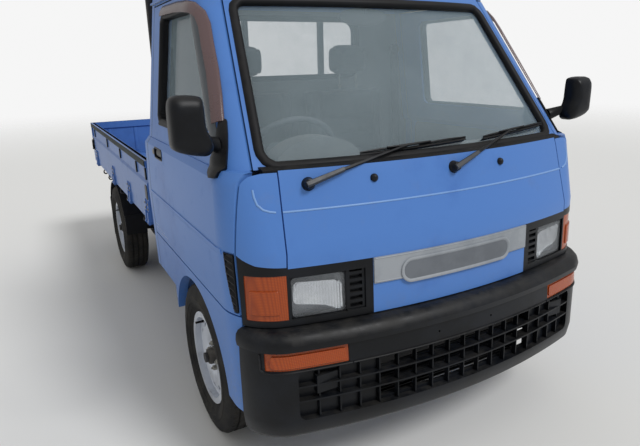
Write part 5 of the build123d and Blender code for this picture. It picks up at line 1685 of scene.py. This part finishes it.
@dataclass
class Seats:
    """Two seats: cushions, backs and headrests on steel posts."""

    inner: float = 25.0
    outer: float = 455.0
    headrest: float = 266.0
    recliner: Flat = ((1050, 660), (1150, 660), (1158, 700), (1150, 860), (1110, 865), (1090, 760), (1040, 700))

    def build(self) -> None:
        """Makes both seats."""
        middle, rest = self.inner + self.outer, self.headrest
        Cushion("seat_cushion", "seat_cushions", 0.8, middle, at(-self.outer, 716, 646), at(-self.inner, 1072, 784),
                0.0, (-0.55, -0.1, 0.35)).build()
        Cushion("seat_back", "seat_backs", 0.75, middle, at(-self.outer, 1077, 788), at(-self.inner, 1158, 1172),
                0.034, (-0.5, -0.12, 0.26), 0.0055).build()
        Cushion("headrest", "headrests", 0.8, 2 * rest, at(-rest - 104, 1112, 1214), at(-rest + 104, 1188, 1366),
                power=4.0).build()
        posts = []
        for x in (-rest - 45, -rest + 45):
            posts.append(rod([at(x, 1150, 1160), at(x, 1154, 1190), at(x, 1152, 1224)], (5, 5, 5)))
            posts.append(turned([(0, 11), (6, 10), (9, 6)], at(x, 1152, 1171), UP, 16, 40))
        fit("headrest_posts", "bolt", both(*posts), slot="seat_cloth")
        bases = [block(at(-x - 12, 730, 640.4), at(-x + 12, 1120, 652), 0.002)
                 for x in (self.inner + 40, self.outer - 40)]
        recliner = [at(6 - self.outer, behind, z) for behind, z in self.recliner]
        bases.append(lofted([recliner, [p + RIGHT_OUT * 0.006 for p in recliner]]))
        bases.append(rod([at(-62, 1010, 760), at(-58, 1020, 800), at(-54, 1030, 838)], (7, 6, 9), 10))
        fit("seat_slides", "cabin_dark", both(*bases))


@dataclass
class Cockpit:
    """Dials, vents, column shroud, stalks, levers, pedals, mirror, visors, belts and mats of the cab's inside."""

    wheel: Point = (-330.0, 572.0, 950.0)
    ring: float = 178.0
    lean: float = 30.0
    spoke: tuple[Point, ...] = ((20, 30, 10), (60, 22, 9), (110, 14, 7), (165, 16, 7), (178, 18, 8))
    spoke_turns: Sizes = (-0.32, math.pi + 0.32, -math.pi / 2)
    pedals: Sizes = (-440, -350, -262)

    def build(self) -> None:
        """Makes the parts."""
        self.dash()
        self.column()
        self.levers()
        self.roof_parts()
        self.linings()

    def dash(self) -> None:
        """Dial panel, vents, drawer line and demister slots of the dashboard."""
        fit("dial_panel", "dial", plate(back_of(421.5), frame_of(-452, 950, -208, 1034, 20), 1.5, 4, 8, 12))
        rings = [turned([(0, 31), (2, 32), (2, 34), (0, 35)], at(x, 423.2, 990), BACK, 40, 50, capped=False)
                 for x in (-385, -283)]
        rim = ring_strip(back_of(420), frame_of(-462, 948, -198, 1040, 22),
                         [(-5, 0), (-5, 7), (0, 9), (5, 5), (5, 0)])
        fit("dial_rings", "cabin_dark", *rings, rim)
        face, lines = back_of(424), []
        for x in (-545, -80, 80, 545):
            lines.append(ring_strip(face, frame_of(x - 48, 885, x + 48, 925, 7),
                                    [(-4, -6), (-4, 7), (0, 9), (4, 6), (4, -6)]))
            lines += [strip(face, [(x - 44, z), (x + 44, z)], [(-2, -4), (-2, 5), (2, 6), (2, -4)])
                      for z in (894, 905, 916)]
        lines.append(ring_strip(back_of(422), frame_of(120, 850, 470, 935, 10, 20),
                                [(-2, -6), (-2, 4), (2, 4), (2, -6)]))
        fit("dash_vents", "cabin_dark", *lines)
        fit("demist_slots", "cabin_dark", *(
            strip(level(1000.5), line_through([(x - 130, 232), (x + 130, 232)], 40),
                  [(-9, -6), (-9, 3), (-6, 4), (6, 4), (9, 3), (9, -6)]) for x in (-380, 0, 380)))

    def column(self) -> None:
        """Shroud and stalks, and the grip, spokes and pad of the steering wheel."""
        centre, turn = at(*self.wheel), math.radians(90 - self.lean)
        axis = BACK * math.sin(turn) + UP * math.cos(turn)
        up = axis.cross(ACROSS)

        def spot(right: float, rise: float, above: float) -> Vector:
            """Point in the wheel's own frame, in millimetres: across, up in its plane, along its axis."""
            return centre + (ACROSS * right + up * rise + axis * above) * MM
        shroud = lofted([circle(spot(0, 0, -down), ACROSS * wide * MM, up * high * MM, 20) for down, wide, high in
                         ((30, 40, 34), (45, 55, 46), (115, 56, 50), (128, 40, 36))], 1)
        stalks = (rod([spot(40 * k, 0, -75), spot(100 * k, 10, -70), spot(165 * k, 15, -60)], (5, 5, 7.5))
                  for k in (-1, 1))
        fit("column_shroud", "cabin_dark", shroud, *stalks, smooth=50)
        rings = []
        for step, out in enumerate(circle(Vector(), ACROSS, up, 72)):
            swell = min(1.0 + 0.10 * abs(out.x) ** 8, 1.035)
            radius = 0.0106 * swell + (0.0002 if step % 2 else -0.0004)
            rings.append(circle(centre + out * self.ring * MM, out * radius, axis * radius, 14))
        grip = skin_over(rings, 60, closed=True)
        spokes = []
        for angle in self.spoke_turns:
            out = ACROSS * math.cos(angle) + up * math.sin(angle)
            over = axis.cross(out)
            spokes.append(lofted([circle(centre + out * reach * MM, over * wide * MM, axis * thick * MM, 12)
                                  for reach, wide, thick in self.spoke], 1))
        pad = lofted([circle(spot(0, 0, rise), ACROSS * wide * MM, up * wide * 0.72 * MM, 28) for rise, wide in
                      ((-14, 40), (-6, 60), (8, 64), (14, 58), (15, 30))], 0, 50)
        fit("steering_grip", "cabin_dark", grip, *spokes, pad, body="steering_wheel_body", smooth=60,
            node="steering_wheel")

    def levers(self) -> None:
        """Gear lever, hand brake and three pedals."""
        lean = UP - BACK * 0.2
        folds = [(0, 45), (10, 43)]
        for step in range(6):
            folds += [(12 + step * 11, 40 - step * 5), (18 + step * 11, 34 - step * 5)]
        parts = [rod([at(0, 690, 600), at(-4, 660, 700), at(-10, 640, 760)], (6, 5, 5)),
                 turned([(0, 10), (12, 18), (30, 22), (42, 18), (48, 8), (49, 0)], at(-10, 640, 752), lean, 24, 60),
                 rod([at(12, 900, 645), at(12, 830, 690), at(12, 770, 730), at(12, 745, 742)], (9, 10, 13, 12), 14),
                 turned(folds + [(85, 6)], at(-1, 672, 640), lean, 28, 25)]
        for x in self.pedals:
            sole = plane(at(x, 380, 560), ACROSS, Vector((0, -0.45, 0.89)))
            parts += [plate(sole, frame_of(-24, -28, 24, 28, 6, 8), 8, 8, 8, 6,
                            lambda u, v: 2.0 if math.sin(v * 28) > 0 else 0.0),
                      rod([at(x, 384, 562), at(x + 6, 340, 640), at(x + 8, 330, 760)], (6, 6, 6), 10)]
        fit("levers_pedals", "cabin_dark", *parts, smooth=40)

    def roof_parts(self) -> None:
        """Inner mirror, two sun visors and the belts beside the seats."""
        mirror = lofted([circle(at(0, behind, 1430), ACROSS * wide * MM, UP * high * MM, 24) for behind, wide, high in
                         ((590, 60, 18), (597, 98, 29), (608, 100, 30), (610, 96, 27))], 0, 50)
        stem = rod([at(0, 596, 1438), at(0, 575, 1470), at(0, 572, 1500)], (6, 5, 7))
        fit("inner_mirror", "cabin_dark", mirror, stem)
        face = plane(at(-255, 708, 1518), ACROSS, Vector((0, 0.985, 0.17)))
        visor = plate(face, frame_of(-185, -70, 185, 70, 22, 20), 8, 16, 10, 12, pillow(3))
        fit("sun_visors", "cabin", both(visor, smooth=50))
        path = [at(*spot) for spot in ((-560, 1190, 1330), (-562, 1186, 1200), (-566, 1180, 1000), (-572, 1170, 800),
                                       (-575, 1160, 655))]
        belt = swept(path, [-BACK] * len(path), [(-23, 0), (23, 0), (23, 1.5), (-23, 1.5)])
        ring = turned([(-4, 26), (8, 24), (10, 0)], at(-560, 1190, 1335), -BACK, 24, 40)
        fit("seat_belts", "rubber", both(belt, ring), slot="seat_cloth")

    def linings(self) -> None:
        """Grey lining of the rear wall, and mats in both foot wells."""
        outline = rounded([(-560, 660), (560, 660), (556, 1196), (-556, 1196)], 20, 60)
        fit("rear_lining", "cabin", plate(ahead_of(1203), outline, 1, 3, 10, 20))
        mat = plate(level(471), frame_of(-366, 330, -90, 660, 30, 30), 5, 5, 20, 20,
                    lambda u, v: 1.5 if math.sin(u * 110) > 0.2 else 0.0)
        fit("floor_mats", "rubber", both(mat))


def main() -> None:
    """Builds the classes in order."""
    logging.basicConfig(level=logging.INFO, format="%(message)s")
    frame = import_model()
    Studio().build()
    ring, row = Repeat("ring_of_pieces", ring=True), Repeat("row_of_pieces")
    for group in (Shell(frame), Screens(), PressedLines(), FrontLamps(), Garnish(), BumperTrim(), Wipers(),
                  DoorTrim(), Mirror(), Underbody(), Seats(), Cockpit()):
        group.build()
    for side in Side:
        for end, behind in AXLES.items():
            Wheel(f"{end}_{side.name.lower()}", side, behind).build(ring)
    GateTrim().build(row)
    Bed().build(row)


if __name__ == "__main__":
    main()
